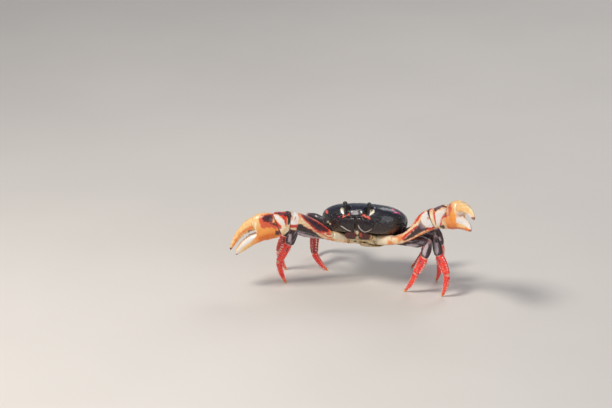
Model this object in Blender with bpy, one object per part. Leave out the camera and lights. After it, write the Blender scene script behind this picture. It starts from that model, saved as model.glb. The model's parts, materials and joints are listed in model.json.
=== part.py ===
"""Purple land crab, a still life-size model in its defensive walking stance.

Units are metres, +Z up. The crab faces -Y, its left side is towards +X, and
all eight walking feet stand on the plane z = 0. The driving sizes below are
written in millimetres and turned into metres where a mesh is made.
"""
import math
import random

import bmesh
import bpy
from mathutils import Matrix, Vector

# Driving sizes of the body, in millimetres
MM = 0.001
CARAPACE_WIDTH = 75.0
FRONT_LENGTH = 23.5
REAR_LENGTH = 32.5
WIDEST_Y = -5.0
BACK_HEIGHT = 13.4
FLANK_DEPTH = 17.0
SHELL_RIM_Z = -13.0
OUTLINE_POWER_FRONT = 2.35
OUTLINE_POWER_REAR = 2.05
BACK_POWER = 2.5
FLANK_POWER = 2.3
BODY_COLUMNS = 40
BODY_ROWS = 8

# How the body is carried, in millimetres and degrees
BODY_CENTRE = Vector((0.8, 0.0, 54.8))
BODY_PITCH = 28.0
BODY_ROLL = 4.5
BODY_YAW = -3.0

# Clearances, in millimetres
GAP = 0.3
CUT_CLEARANCE = 0.35

# Limbs: fullness of their sections and sides of each ring
LIMB_POWER = 2.4
LIMB_SIDES = 10
CLAW_POWER = 2.6
CLAW_SIDES = 16

# Walking legs. Coxa (x, y, z) in the body's own axes, for one side
COXAE = {
    2: (19.0, 0.0, -15.5),
    3: (20.0, 7.0, -15.0),
    4: (19.0, 14.0, -14.0),
    5: (16.0, 20.5, -12.5),
}
# Lengths of merus with ischium, carpus, propodus and dactylus
LEG_LENGTHS = {
    2: (44.0, 13.8, 18.1, 22.0),
    3: (46.5, 14.4, 18.2, 21.0),
    4: (44.0, 15.4, 18.6, 20.4),
    5: (38.5, 12.9, 16.9, 19.0),
}
# Stance: how far the merus sweeps backwards, how steeply it rises, how far the
# carpus turns outwards, all in degrees, and where the foot stands
STANCES = {
    "left_2": (-17.5, 8.2, 11.0, (39.9, -17.7)),
    "left_3": (-15.5, 12.6, 9.0, (74.1, -19.5)),
    "left_4": (-6.0, 21.5, 16.0, (60.2, 15.1)),
    "left_5": (38.0, 12.0, 15.0, (30.8, 39.6)),
    "right_2": (-28.5, 12.7, 17.0, (-63.4, -28.1)),
    "right_3": (-11.0, 13.5, 26.0, (-72.5, 1.9)),
    "right_4": (18.0, 14.8, 2.0, (-36.8, 10.1)),
    "right_5": (41.0, 12.5, 20.0, (-55.7, 38.9)),
}
# Half depth and half thickness of a leg at each joint, and of its foot
JOINTS = {"hip": (3.7, 2.5), "knee": (3.9, 2.6), "wrist": (3.3, 2.3),
          "ankle": (2.7, 1.9), "foot": (0.55, 0.5)}
# Half depth and half thickness along each segment, from its near to its far end
LEG_SECTIONS = {
    "merus": ((0.0, 3.7, 2.5), (0.2, 3.3, 2.4), (0.32, 4.0, 2.7), (0.6, 4.6, 2.9),
              (0.85, 4.8, 3.0), (1.0, 4.3, 2.9)),
    "carpus": ((0.0, 3.9, 2.7), (0.5, 4.1, 2.9), (1.0, 3.6, 2.5)),
    "propodus": ((0.0, 3.3, 2.4), (0.3, 3.7, 2.6), (0.7, 3.4, 2.4), (1.0, 2.9, 2.1)),
    "dactylus": ((0.0, 2.6, 1.9), (0.35, 2.3, 1.7), (0.65, 1.8, 1.4),
                 (0.85, 1.2, 1.0), (1.0, 0.75, 0.7)),
}
# How far the middle of each segment bows outwards
BOWS = {"merus": 0.6, "carpus": 0.4, "propodus": 0.5, "dactylus": 1.3}
# Rows of spines round the lower leg, as degrees round its section, and for each
# segment their number, first and last place, height and root radius
SPINE_ROWS = (62.0, 118.0, 242.0, 298.0)
SPINES = {"propodus": (6, 0.17, 0.86, 1.35, 0.55), "dactylus": (6, 0.14, 0.78, 1.1, 0.48)}
SPINE_SIDES = 5
SPINE_SUNK = 0.5
SPINE_LEAN = 0.5

# Chelipeds. Coxa in the body's axes, then the joints of each arm in the stance
# and the half height and half thickness of the arm at its elbow. drop tips the
# palm up from the line to the claw's tip, gape opens the upper finger and roll
# turns the claw about its length, in degrees. Each station of the merus is its
# place, half height, half thickness and how far it lies above the arm's line
CLAW_COXA = (14.5, -6.0, -17.0)
ARMS = {
    "right": {
        "ischium": Vector((-24.0, -24.0, 46.5)),
        "elbow": Vector((-54.9, -45.0, 65.8)),
        "wrist": Vector((-65.0, -47.3, 61.2)),
        "grip": Vector((-104.0, -58.3, 38.2)),
        "elbow_up": Vector((1.8, 0.0, 15.8)),
        "wrist_up": Vector((-6.0, 0.0, 20.6)),
        "elbow_half": (7.4, 4.6),
        "drop": 10.0,
        "gape": 0.0,
        "roll": 0.0,
        "merus": ((0.0, 4.1, 3.9, 0.0), (0.25, 5.3, 4.5, 1.0), (0.5, 6.5, 5.1, 1.5),
                  (0.8, 7.4, 5.3, 1.0), (1.0, 7.7, 5.0, 0.2)),
    },
    "left": {
        "ischium": Vector((31.3, -21.0, 47.6)),
        "elbow": Vector((66.6, -26.5, 73.4)),
        "wrist": Vector((82.6, -28.3, 77.6)),
        "grip": Vector((111.6, -63.3, 90.1)),
        "elbow_up": Vector((-4.6, 0.0, 16.8)),
        "wrist_up": Vector((6.0, 0.0, 20.4)),
        "elbow_half": (8.8, 4.8),
        "drop": 2.0,
        "gape": 14.5,
        "roll": -12.0,
        "merus": ((0.0, 3.8, 3.8, -0.6), (0.3, 4.0, 4.2, -2.6), (0.55, 5.4, 4.8, -2.0),
                  (0.8, 8.0, 5.2, -0.2), (1.0, 8.8, 5.0, 0.0)),
    },
}
ARM_JOINTS = {"coxa": (4.2, 3.8), "ischium": (3.9, 3.7), "wrist": (10.2, 4.7)}
ISCHIUM = ((0.0, 4.2, 3.8, 0.0), (0.5, 4.3, 4.0, 0.0), (1.0, 4.0, 3.8, 0.0))
CARPUS = ((0.0, 8.6, 5.2, 0.0), (0.5, 9.8, 5.8, 0.0), (1.0, 10.6, 5.4, 0.0))
# The claw in its own plane: x runs along the palm, y towards the upper finger.
# Each station is x, y, half height and half thickness
PALM = ((2.8, 0.4, 11.2, 5.2), (7.0, 1.1, 12.0, 6.0), (12.5, 1.8, 12.2, 6.3),
        (17.0, 2.2, 11.6, 6.0), (19.6, 2.4, 11.0, 5.6))
FIXED_FINGER = {
    "right": ((13.0, -4.8, 4.8, 4.3), (19.8, -5.5, 4.6, 4.3), (26.0, -6.3, 4.5, 4.0),
              (32.0, -8.4, 4.0, 3.5), (37.5, -10.8, 3.1, 2.7), (41.2, -12.9, 1.9, 1.8),
              (43.4, -14.5, 0.6, 0.6)),
    "left": ((13.0, -4.8, 4.9, 4.3), (19.8, -5.2, 5.1, 4.3), (26.0, -5.5, 5.0, 4.0),
             (32.0, -6.6, 4.3, 3.5), (37.5, -8.4, 3.2, 2.7), (41.2, -10.0, 2.0, 1.8),
             (43.4, -11.3, 0.6, 0.6)),
}
MOVING_FINGER = ((19.9, 7.4, 6.0, 5.0), (24.5, 6.7, 4.9, 4.6), (29.5, 4.9, 3.9, 4.0),
                 (34.5, 2.2, 3.1, 3.3), (39.5, -1.5, 2.4, 2.6), (43.3, -5.1, 1.6, 1.8),
                 (45.6, -7.6, 0.9, 1.0), (46.5, -8.8, 0.4, 0.4))
HINGE = (19.9, 4.0)
# Teeth along the biting edges: number, first and last place, height, root radius
TEETH = (4, 0.2, 0.75, 0.9, 1.1)

# Face and underside, in the body's own axes
FRONT_LOBE = ((8.2, 3.4, -24.6), (6.4, 4.8, -26.6), (3.6, 5.3, -28.3), (1.2, 5.3, -29.0),
              (-0.3, 4.9, -29.0))
FRONT_LOBE_DEPTH = 1.6
ORBIT = {"centre": (10.6, -27.6, 4.4), "radii": (4.3, 5.0, 5.2)}
EYESTALK = {"foot": (10.1, -26.0, 0.4), "top": (10.8, -27.6, 7.7), "radius": 1.6}
EYE = {"length": 4.1, "radius": 1.95}
EYE_PROFILE = (0.84, 1.0, 1.02, 0.9, 0.62, 0.2)
ANTENNA = {"foot": (6.6, -28.6, -1.0), "tip": (9.4, -33.4, -1.2), "radius": 0.5}
# Third maxilliped: height, half width, distance from the middle and y of its
# middle. Its wide lobe is above, its ischium below
MAXILLIPED = ((-1.9, 3.4, 4.8, -27.0), (-3.6, 6.4, 7.3, -26.9), (-6.0, 7.7, 8.4, -26.5),
              (-8.6, 7.3, 8.1, -25.6), (-10.8, 6.1, 7.3, -24.4), (-12.8, 4.4, 6.4, -22.9),
              (-14.0, 4.2, 6.2, -21.4), (-15.4, 5.2, 6.5, -20.6), (-17.6, 5.0, 6.4, -19.4),
              (-19.2, 3.8, 5.6, -18.6))
MAXILLIPED_DEPTH = 1.8
MAXILLIPED_SWEEP = 8.0
# Sternum: y, half width and depth of its underside
STERNUM = ((-16.5, 8.0, -16.8), (-13.0, 12.0, -18.3), (-7.0, 14.5, -19.3),
           (2.0, 16.0, -19.6), (11.0, 16.5, -19.2), (19.0, 13.0, -17.6),
           (25.0, 8.0, -15.6))
STERNUM_TOP = SHELL_RIM_Z - GAP
# Abdomen folded below the sternum: y, half width, height of its middle
ABDOMEN = ((28.4, 9.0, -13.4), (26.2, 9.4, -16.6), (20.0, 8.6, -19.0),
           (11.0, 6.8, -20.5), (3.0, 4.8, -20.9), (-3.0, 3.4, -20.7), (-6.0, 1.8, -20.5))
ABDOMEN_DEPTH = 0.8

BODY_TILT = (
    Matrix.Translation(BODY_CENTRE)
    @ Matrix.Rotation(math.radians(BODY_YAW), 4, "Z")
    @ Matrix.Rotation(math.radians(-BODY_ROLL), 4, "Y")
    @ Matrix.Rotation(math.radians(-BODY_PITCH), 4, "X")
)


def clear_scene():
    for old in list(bpy.data.objects):
        bpy.data.objects.remove(old, do_unlink=True)


def collection(name):
    made = bpy.data.collections.new(name)
    bpy.context.scene.collection.children.link(made)
    return made


def principled(name, colour, roughness):
    """A plain material with the shell's colour and gloss."""
    made = bpy.data.materials.new(name)
    made.use_nodes = True
    shader = made.node_tree.nodes["Principled BSDF"]
    shader.inputs["Base Color"].default_value = (*colour, 1.0)
    shader.inputs["Roughness"].default_value = roughness
    shader.inputs["Metallic"].default_value = 0.0
    made.diffuse_color = (*colour, 1.0)
    return made


def add_object(name, mesh, material, where):
    made = bpy.data.objects.new(name, mesh)
    if material is not None:
        mesh.materials.append(material)
    where.objects.link(made)
    return made


def mesh_from(name, shape):
    """Turns a bmesh in millimetres into a mesh in metres, with its faces outwards."""
    bmesh.ops.recalc_face_normals(shape, faces=shape.faces)
    bmesh.ops.scale(shape, vec=(MM, MM, MM), verts=shape.verts)
    mesh = bpy.data.meshes.new(name)
    shape.to_mesh(mesh)
    shape.free()
    mesh.shade_smooth()
    mesh.set_sharp_from_angle(angle=math.radians(40))
    return mesh


def signed_power(value, power):
    return math.copysign(abs(value) ** power, value)


def ring(centre, across, along, half_across, half_along, power, sides):
    """Points of one rounded-square section, in order round it."""
    points = []
    for step in range(sides):
        angle = 2.0 * math.pi * (step + 0.5) / sides
        reach_across = half_across * signed_power(math.cos(angle), 2.0 / power)
        reach_along = half_along * signed_power(math.sin(angle), 2.0 / power)
        points.append(centre + across * reach_across + along * reach_along)
    return points


def loft(rings):
    """A closed bmesh through rings that have the same number of points."""
    shape = bmesh.new()
    rows = [[shape.verts.new(point) for point in points] for points in rings]
    for near, far in zip(rows, rows[1:]):
        for step in range(len(near)):
            after = (step + 1) % len(near)
            shape.faces.new((near[step], near[after], far[after], far[step]))
    shape.faces.new(rows[0])
    shape.faces.new(rows[-1])
    return shape


def apply_boolean(target, helpers, operation, solver="EXACT"):
    """Joins or cuts with every mesh of a collection, applies it and removes them."""
    step = target.modifiers.new(operation.title(), "BOOLEAN")
    step.operation = operation
    step.operand_type = "COLLECTION"
    step.collection = helpers
    step.solver = solver
    bpy.context.view_layer.update()
    graph = bpy.context.evaluated_depsgraph_get()
    finished = bpy.data.meshes.new_from_object(target.evaluated_get(graph))
    target.modifiers.clear()
    target.data = finished
    for helper in list(helpers.objects):
        bpy.data.objects.remove(helper, do_unlink=True)


def keep_largest(target):
    """Drops every loose scrap but the largest closed surface of an object."""
    shape = bmesh.new()
    shape.from_mesh(target.data)
    shape.verts.ensure_lookup_table()
    left = set(shape.verts)
    groups = []
    while left:
        found = [left.pop()]
        group = list(found)
        while found:
            vert = found.pop()
            for edge in vert.link_edges:
                other = edge.other_vert(vert)
                if other in left:
                    left.discard(other)
                    found.append(other)
                    group.append(other)
        groups.append(group)
    if len(groups) > 1:
        groups.sort(key=len)
        scraps = [vert for group in groups[:-1] for vert in group]
        bmesh.ops.delete(shape, geom=scraps, context="VERTS")
        shape.to_mesh(target.data)
    shape.free()


class Workshop:
    """Holds the collections and materials that every piece shares."""

    def __init__(self):
        self.crab = collection("purple_land_crab")
        self.helpers = collection("helpers")
        self.helpers.hide_render = True
        self.shell = principled("dark_shell", (0.018, 0.014, 0.024), 0.28)
        self.belly = principled("pale_belly", (0.62, 0.50, 0.30), 0.45)
        self.mouth = principled("mouth_plates", (0.035, 0.015, 0.016), 0.35)
        self.eye = principled("eye", (0.01, 0.008, 0.01), 0.08)
        self.arm = principled("arm_shell", (0.62, 0.16, 0.07), 0.32)
        self.claw = principled("claw_shell", (0.90, 0.42, 0.10), 0.30)
        self.thigh = principled("leg_mauve", (0.10, 0.055, 0.06), 0.38)
        self.shin = principled("leg_red", (0.62, 0.03, 0.03), 0.38)

    def part(self, name, shape, material):
        return add_object(name, mesh_from(name, shape), material, self.crab)

    def helper(self, name, shape):
        made = add_object(name, mesh_from(name, shape), None, self.helpers)
        made.hide_render = True
        made.display_type = "WIRE"
        return made


def skin_point(rings, share, angle):
    """A point on a loft's skin, and the middle of its section there."""
    middles = [sum(points, Vector()) / len(points) for points in rings]
    reach = [0.0]
    for near, far in zip(middles, middles[1:]):
        reach.append(reach[-1] + (far - near).length)
    place = share * reach[-1]
    index = max(step for step in range(len(rings) - 1) if reach[step] <= place)
    blend = (place - reach[index]) / (reach[index + 1] - reach[index])
    sides = len(rings[0])
    turn = math.radians(angle) / (2.0 * math.pi) * sides - 0.5
    first = math.floor(turn)
    between = turn - first
    edge = [points[first % sides].lerp(points[(first + 1) % sides], between)
            for points in (rings[index], rings[index + 1])]
    return edge[0].lerp(edge[1], blend), middles[index].lerp(middles[index + 1], blend)


def spine_shape(root, direction, height, radius):
    """A sharp cone whose root is sunk below the skin."""
    shape = bmesh.new()
    depth = height + SPINE_SUNK
    middle = root + direction * (height - SPINE_SUNK) / 2.0
    place = Matrix.Translation(middle) @ direction.to_track_quat("Z", "Y").to_matrix().to_4x4()
    bmesh.ops.create_cone(shape, cap_ends=True, segments=SPINE_SIDES, radius1=radius,
                          radius2=0.0, depth=depth, matrix=place)
    bmesh.ops.remove_doubles(shape, verts=shape.verts, dist=0.001)
    return shape


def grow_spines(shop, rings, angles, plan, lean, seed):
    """Rows of spines on a loft, from its near to its far end, as helpers."""
    draw = random.Random(seed)
    number, first, last, height, radius = plan
    for row, angle in enumerate(angles):
        for index in range(number):
            place = (index + 0.5 * (row % 2)) / (number - 0.5)
            share = first + (last - first) * place + draw.uniform(-0.01, 0.01)
            skin, middle = skin_point(rings, share, angle + draw.uniform(-3.0, 3.0))
            ahead = skin_point(rings, min(share + 0.02, 1.0), angle)[1] - middle
            out = (skin - middle).normalized() + ahead.normalized() * lean
            size = draw.uniform(0.85, 1.15)
            shape = spine_shape(skin, out.normalized(), height * size, radius * size)
            shop.helper("spine", shape)


def bounded_half(half, distance, bend):
    """Half depth on the inner side of a bent joint, kept on its own side of it."""
    if bend < 1e-4:
        return half
    return min(half, max(0.6, (distance - GAP) / math.tan(bend / 2.0) * 0.95))


def joint_normal(points, index):
    """The plane that two segments share lies square to this direction."""
    before = (points[index] - points[index - 1]).normalized()
    after = (points[index + 1] - points[index]).normalized()
    return (before + after).normalized()


class Leg:
    """One walking leg: five joints in one plane, from the coxa to the floor."""

    segments = ("merus", "carpus", "propodus", "dactylus")

    def __init__(self, name):
        side_word, number = name.split("_")
        self.name = name
        side = 1.0 if side_word == "left" else -1.0
        row = int(number)
        self.seed = row * 10 + (1 if side > 0.0 else 2)
        sweep, rise, turn, foot = STANCES[name]
        lengths = LEG_LENGTHS[row]
        x, y, z = COXAE[row]
        hip = BODY_TILT @ Vector((side * x, y, z))
        floor_point = Vector((foot[0], foot[1], 0.0))
        sweep = math.radians(sweep)
        outward = Vector((side * math.cos(sweep), math.sin(sweep), 0.0))
        rise = math.radians(rise)
        climb = outward * math.cos(rise) + Vector((0.0, 0.0, math.sin(rise)))
        knee = hip + climb * lengths[0]
        chord = (floor_point - knee).normalized()
        bulge = (outward - chord * outward.dot(chord)).normalized()
        turn = math.radians(turn)
        wrist = knee + (chord * math.cos(turn) + bulge * math.sin(turn)) * lengths[1]
        ankle = self.two_links(wrist, floor_point, bulge, lengths[2], lengths[3])
        self.points = [hip, knee, wrist, ankle, floor_point]
        self.across = climb.cross(chord).normalized()
        coxa_root = BODY_TILT @ Vector((side * x * 0.45, y, z - 1.0))
        self.normals = [(knee - coxa_root).normalized()]
        self.normals += [joint_normal(self.points, index) for index in (1, 2, 3)]
        self.normals.append(Vector((0.0, 0.0, -1.0)))
        self.coxa_root = coxa_root

    @staticmethod
    def two_links(start, end, bulge, first, second):
        """The joint between two lengths that reach from start to end."""
        line = end - start
        span = min(line.length, (first + second) * 0.999)
        ahead = line.normalized()
        out = (bulge - ahead * bulge.dot(ahead)).normalized()
        along = (first ** 2 - second ** 2 + span ** 2) / (2.0 * span)
        height = math.sqrt(max(first ** 2 - along ** 2, 0.0))
        return start + ahead * along + out * height

    def joint_ring(self, index, shift, grow=0.0):
        key = ("hip", "knee", "wrist", "ankle", "foot")[index]
        depth, thick = JOINTS[key]
        normal = self.normals[index]
        up = self.across.cross(normal).normalized()
        across = normal.cross(up)
        centre = self.points[index] + normal * shift
        return ring(centre, across, up, thick + grow, depth + grow,
                    LIMB_POWER, LIMB_SIDES)

    def bend(self, index):
        """How far the leg turns at a joint, signed by which way it turns."""
        if index in (0, 4):
            return 0.0
        before = self.points[index] - self.points[index - 1]
        after = self.points[index + 1] - self.points[index]
        size = before.angle(after)
        return math.copysign(size, before.cross(after).dot(self.across))

    def segment_rings(self, index, grow=0.0):
        """The rings of one segment, from one joint's plane to the next."""
        start, end = self.points[index], self.points[index + 1]
        ahead = (end - start).normalized()
        up = self.across.cross(ahead).normalized()
        length = (end - start).length
        bends = (self.bend(index), self.bend(index + 1))
        word = self.segments[index]
        keys = ("hip", "knee", "wrist", "ankle", "foot")
        room = [JOINTS[keys[index + end_]][0] * math.sin(abs(bends[end_]) / 2.0) + 0.7
                for end_ in (0, 1)]
        if index == 3:
            tilt = self.normals[4].angle(ahead)
            last_depth = LEG_SECTIONS[word][-1][1]
            room[1] = (last_depth * math.sin(tilt) + 0.8) / math.cos(tilt)
        rings = [self.joint_ring(index, GAP / 2.0, grow)]
        for share, depth, thick in LEG_SECTIONS[word]:
            place = room[0] + (length - room[0] - room[1]) * share
            upper, lower = depth, depth
            for distance, bend in ((place, bends[0]), (length - place, bends[1])):
                if bend > 0.0:
                    upper = bounded_half(upper, distance, bend)
                elif bend < 0.0:
                    lower = bounded_half(lower, distance, -bend)
            bow = -math.copysign(BOWS[word], bends[0] + bends[1])
            bow *= math.sin(math.pi * place / length)
            centre = start + ahead * place + up * ((upper - lower) / 2.0 + bow)
            rings.append(ring(centre, self.across, up, thick + grow,
                              (upper + lower) / 2.0 + grow, LIMB_POWER, LIMB_SIDES))
        shift = 0.0 if index == 3 else -GAP / 2.0
        rings.append(self.joint_ring(index + 1, shift, grow))
        return rings

    def coxa_rings(self, grow=0.0):
        """The short coxa, from inside the sternum out to the hip."""
        root = self.coxa_root
        normal = self.normals[0]
        up = self.across.cross(normal).normalized()
        rings = [ring(root, self.across, up, 2.2 + grow, 3.2 + grow, LIMB_POWER, LIMB_SIDES)]
        rings.append(self.joint_ring(0, -GAP / 2.0, grow))
        return rings

    def build(self, shop):
        for index, word in enumerate(self.segments):
            rings = self.segment_rings(index)
            material = shop.thigh if index < 2 else shop.shin
            made = shop.part(f"leg_{self.name}_{word}", loft(rings), material)
            if word in SPINES:
                grow_spines(shop, rings, SPINE_ROWS, SPINES[word], SPINE_LEAN,
                            self.seed * 10 + index)
                apply_boolean(made, shop.helpers, "UNION")
                keep_largest(made)


class Arm:
    """One cheliped: ischium, merus, carpus, palm with fixed finger, moving finger."""

    def __init__(self, side_word):
        self.name = side_word
        side = 1.0 if side_word == "left" else -1.0
        self.plan = ARMS[side_word]
        x, y, z = CLAW_COXA
        coxa = BODY_TILT @ Vector((side * x, y, z))
        self.coxa_root = BODY_TILT @ Vector((side * x * 0.35, y + 1.0, z))
        grip = self.plan["grip"] - self.plan["wrist"]
        self.points = [coxa] + [self.plan[key] for key in ("ischium", "elbow", "wrist")]
        up = Vector((0.0, 0.0, 1.0))
        face = grip.cross(up).normalized()
        drop = Matrix.Rotation(math.radians(self.plan["drop"]), 3, face)
        self.palm_x = (drop @ grip).normalized()
        roll = Matrix.Rotation(math.radians(self.plan["roll"]), 3, self.palm_x)
        self.palm_z = (roll @ face).normalized()
        self.palm_y = self.palm_z.cross(self.palm_x).normalized()
        self.ups = [up, up, self.plan["elbow_up"], self.plan["wrist_up"]]
        self.normals = [(self.points[1] - self.coxa_root).normalized()]
        ahead = self.points + [self.points[3] + self.palm_x * 20.0]
        self.normals += [joint_normal(ahead, index) for index in (1, 2, 3)]

    def joint_half(self, index):
        if index == 2:
            return self.plan["elbow_half"]
        return ARM_JOINTS[("coxa", "ischium", "elbow", "wrist")[index]]

    def joint_ring(self, index, shift, grow=0.0):
        height, thick = self.joint_half(index)
        normal = self.normals[index]
        across = normal.cross(self.ups[index]).normalized()
        up = across.cross(normal).normalized()
        centre = self.points[index] + normal * shift
        return ring(centre, across, up, thick + grow, height + grow, CLAW_POWER, CLAW_SIDES)

    def segment_rings(self, index, grow=0.0):
        sections = (ISCHIUM, self.plan["merus"], CARPUS)[index]
        start, end = self.points[index], self.points[index + 1]
        ahead = (end - start).normalized()
        length = (end - start).length
        rings = [self.joint_ring(index, GAP / 2.0, grow)]
        room = []
        for joint in (index, index + 1):
            tilt = self.normals[joint].angle(ahead)
            room.append(self.joint_half(joint)[0] * math.sin(tilt) + 0.8)
        for share, height, thick, lift in sections:
            place = room[0] + (length - room[0] - room[1]) * share
            blend = place / length
            hint = self.ups[index].normalized().lerp(self.ups[index + 1].normalized(), blend)
            across = ahead.cross(hint).normalized()
            up = across.cross(ahead).normalized()
            centre = start + ahead * place + up * lift
            rings.append(ring(centre, across, up, thick + grow, height + grow,
                              CLAW_POWER, CLAW_SIDES))
        rings.append(self.joint_ring(index + 1, -GAP / 2.0, grow))
        return rings

    def coxa_rings(self, grow=0.0):
        normal = self.normals[0]
        across = normal.cross(self.ups[0]).normalized()
        up = across.cross(normal).normalized()
        rings = [ring(self.coxa_root, across, up, 3.0 + grow, 3.2 + grow,
                      CLAW_POWER, CLAW_SIDES)]
        rings.append(self.joint_ring(0, -GAP / 2.0, grow))
        return rings

    def claw_ring(self, x, y, half_height, half_thick, slope=0.0, gape=0.0):
        """A section of the claw; slope keeps it square to a finger, gape opens it."""
        turn = math.radians(gape)
        from_x, from_y = x - HINGE[0], y - HINGE[1]
        x = HINGE[0] + from_x * math.cos(turn) - from_y * math.sin(turn)
        y = HINGE[1] + from_x * math.sin(turn) + from_y * math.cos(turn)
        centre = self.points[3] + self.palm_x * x + self.palm_y * y
        tip = slope + turn
        up = self.palm_y * math.cos(tip) - self.palm_x * math.sin(tip)
        return ring(centre, self.palm_z, up, half_thick, half_height, CLAW_POWER, CLAW_SIDES)

    def finger_rings(self, stations, gape=0.0):
        """Rings square to the finger's own curve; the first stays along the palm."""
        rings = []
        for index, (x, y, height, thick) in enumerate(stations):
            if index == 0:
                slope = 0.0
            else:
                before = stations[index - 1]
                after = stations[min(index + 1, len(stations) - 1)]
                slope = math.atan2(after[1] - before[1], after[0] - before[0])
            opened = gape if index else 0.0
            rings.append(self.claw_ring(x, y, height, thick, slope, opened))
        return rings

    def build(self, shop):
        for index, word in enumerate(("ischium", "merus", "carpus")):
            shape = loft(self.segment_rings(index))
            shop.part(f"claw_{self.name}_{word}", shape, shop.arm)
        rings = [self.joint_ring(3, GAP / 2.0)]
        rings += [self.claw_ring(*station) for station in PALM]
        palm = shop.part(f"claw_{self.name}_palm", loft(rings), shop.claw)
        fixed = self.finger_rings(FIXED_FINGER[self.name])
        shop.helper("fixed_finger", loft(fixed))
        grow_spines(shop, fixed, (90.0,), TEETH, 0.0, 7)
        apply_boolean(palm, shop.helpers, "UNION")
        keep_largest(palm)
        moving = self.finger_rings(MOVING_FINGER, self.plan["gape"])
        finger = shop.part(f"claw_{self.name}_finger", loft(moving), shop.claw)
        grow_spines(shop, moving, (270.0,), TEETH, 0.0, 8)
        apply_boolean(finger, shop.helpers, "UNION")
        keep_largest(finger)


def body_point(angle, rise):
    """A point of the body's skin: angle round it from its left, rise up from its rim."""
    sideways, lengthways = math.cos(angle), math.sin(angle)
    front = lengthways < 0.0
    power = OUTLINE_POWER_FRONT if front else OUTLINE_POWER_REAR
    reach = FRONT_LENGTH if front else REAR_LENGTH
    x = CARAPACE_WIDTH / 2.0 * signed_power(sideways, 2.0 / power)
    y = reach * signed_power(lengthways, 2.0 / power)
    height, fullness = (BACK_HEIGHT, BACK_POWER) if rise > 0.0 else (FLANK_DEPTH, FLANK_POWER)
    level = math.cos(rise) ** (2.0 / fullness)
    z = height * signed_power(math.sin(rise), 2.0 / fullness)
    return Vector((x * level, y * level + WIDEST_Y, z))


def body_shape():
    """The closed body form, before it is parted."""
    rings = []
    rises = [math.pi / 2.0 * math.sin(math.pi / 2.0 * step / BODY_ROWS)
             for step in range(-BODY_ROWS + 1, BODY_ROWS)]
    for rise in rises:
        turn = [2.0 * math.pi * step / BODY_COLUMNS for step in range(BODY_COLUMNS)]
        rings.append([BODY_TILT @ body_point(angle, rise) for angle in turn])
    return loft(rings)


def box_shape(low, high, tilt):
    """A box between two corners, set in the body's axes."""
    shape = bmesh.new()
    size = [b - a for a, b in zip(low, high)]
    middle = [(a + b) / 2.0 for a, b in zip(low, high)]
    place = tilt @ Matrix.Translation(middle) @ Matrix.Diagonal((*size, 1.0))
    bmesh.ops.create_cube(shape, size=1.0, matrix=place)
    return shape


def orbit_shape(side):
    shape = bmesh.new()
    x, y, z = ORBIT["centre"]
    place = BODY_TILT @ Matrix.Translation((side * x, y, z))
    place = place @ Matrix.Diagonal((*ORBIT["radii"], 1.0))
    bmesh.ops.create_uvsphere(shape, u_segments=14, v_segments=9, radius=1.0, matrix=place)
    return shape


def front_lobe_shape():
    """The narrow front between the eyes, which bends down over the mouth."""
    rings = []
    for z, half, y in FRONT_LOBE:
        flat = ring(Vector((0.0, y + FRONT_LOBE_DEPTH, z)), Vector((1, 0, 0)),
                    Vector((0, 1, 0)), half, FRONT_LOBE_DEPTH, 2.6, CLAW_SIDES)
        rings.append([BODY_TILT @ point for point in flat])
    return loft(rings)


def maxilliped_rings(side, grow=0.0, forward=0.0):
    """Stacked flat sections of one mouth plate, from its top to its root."""
    rings = []
    last = len(MAXILLIPED) - 1
    swept = math.radians(MAXILLIPED_SWEEP)
    across = Vector((math.cos(swept), side * math.sin(swept), 0.0))
    back = Vector((-side * math.sin(swept), math.cos(swept), 0.0))
    for index, (z, half, middle, y) in enumerate(MAXILLIPED):
        lift = 2.0 * grow if index == 0 else (-2.0 * grow if index == last else 0.0)
        depth = MAXILLIPED_DEPTH + grow + forward / 2.0
        centre = Vector((side * middle, y, z + lift)) - back * (forward / 2.0)
        power = 12.0 if forward else 2.6
        flat = ring(centre, across, back, half + grow, depth, power, CLAW_SIDES)
        rings.append([BODY_TILT @ point for point in flat])
    return rings


def tapered_rod(foot, top, radii, sides):
    """A closed rod through evenly spaced rings, square to its length."""
    ahead = (top - foot).normalized()
    across = ahead.orthogonal().normalized()
    up = ahead.cross(across).normalized()
    rings = []
    for index, radius in enumerate(radii):
        centre = foot.lerp(top, index / (len(radii) - 1))
        rings.append(ring(centre, across, up, radius, radius, 2.0, sides))
    return loft(rings)


def make_carapace(shop, limbs):
    carapace = shop.part("carapace", body_shape(), shop.shell)
    shop.helper("front_lobe", front_lobe_shape())
    apply_boolean(carapace, shop.helpers, "UNION")
    shop.helper("below_rim", box_shape((-60, -60, -60), (60, 60, SHELL_RIM_Z), BODY_TILT))
    for side in (1.0, -1.0):
        shop.helper("orbit", orbit_shape(side))
    apply_boolean(carapace, shop.helpers, "DIFFERENCE")
    for side in (1.0, -1.0):
        shop.helper("mouth", loft(maxilliped_rings(side, CUT_CLEARANCE, 12.0)))
    apply_boolean(carapace, shop.helpers, "DIFFERENCE")
    for limb in limbs:
        shop.helper("coxa_clear", loft(limb.coxa_rings(CUT_CLEARANCE)))
        shop.helper("limb_clear", loft(limb.segment_rings(0, CUT_CLEARANCE)))
        if isinstance(limb, Arm):
            shop.helper("limb_clear", loft(limb.segment_rings(1, CUT_CLEARANCE)))
    apply_boolean(carapace, shop.helpers, "DIFFERENCE")
    keep_largest(carapace)


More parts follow.
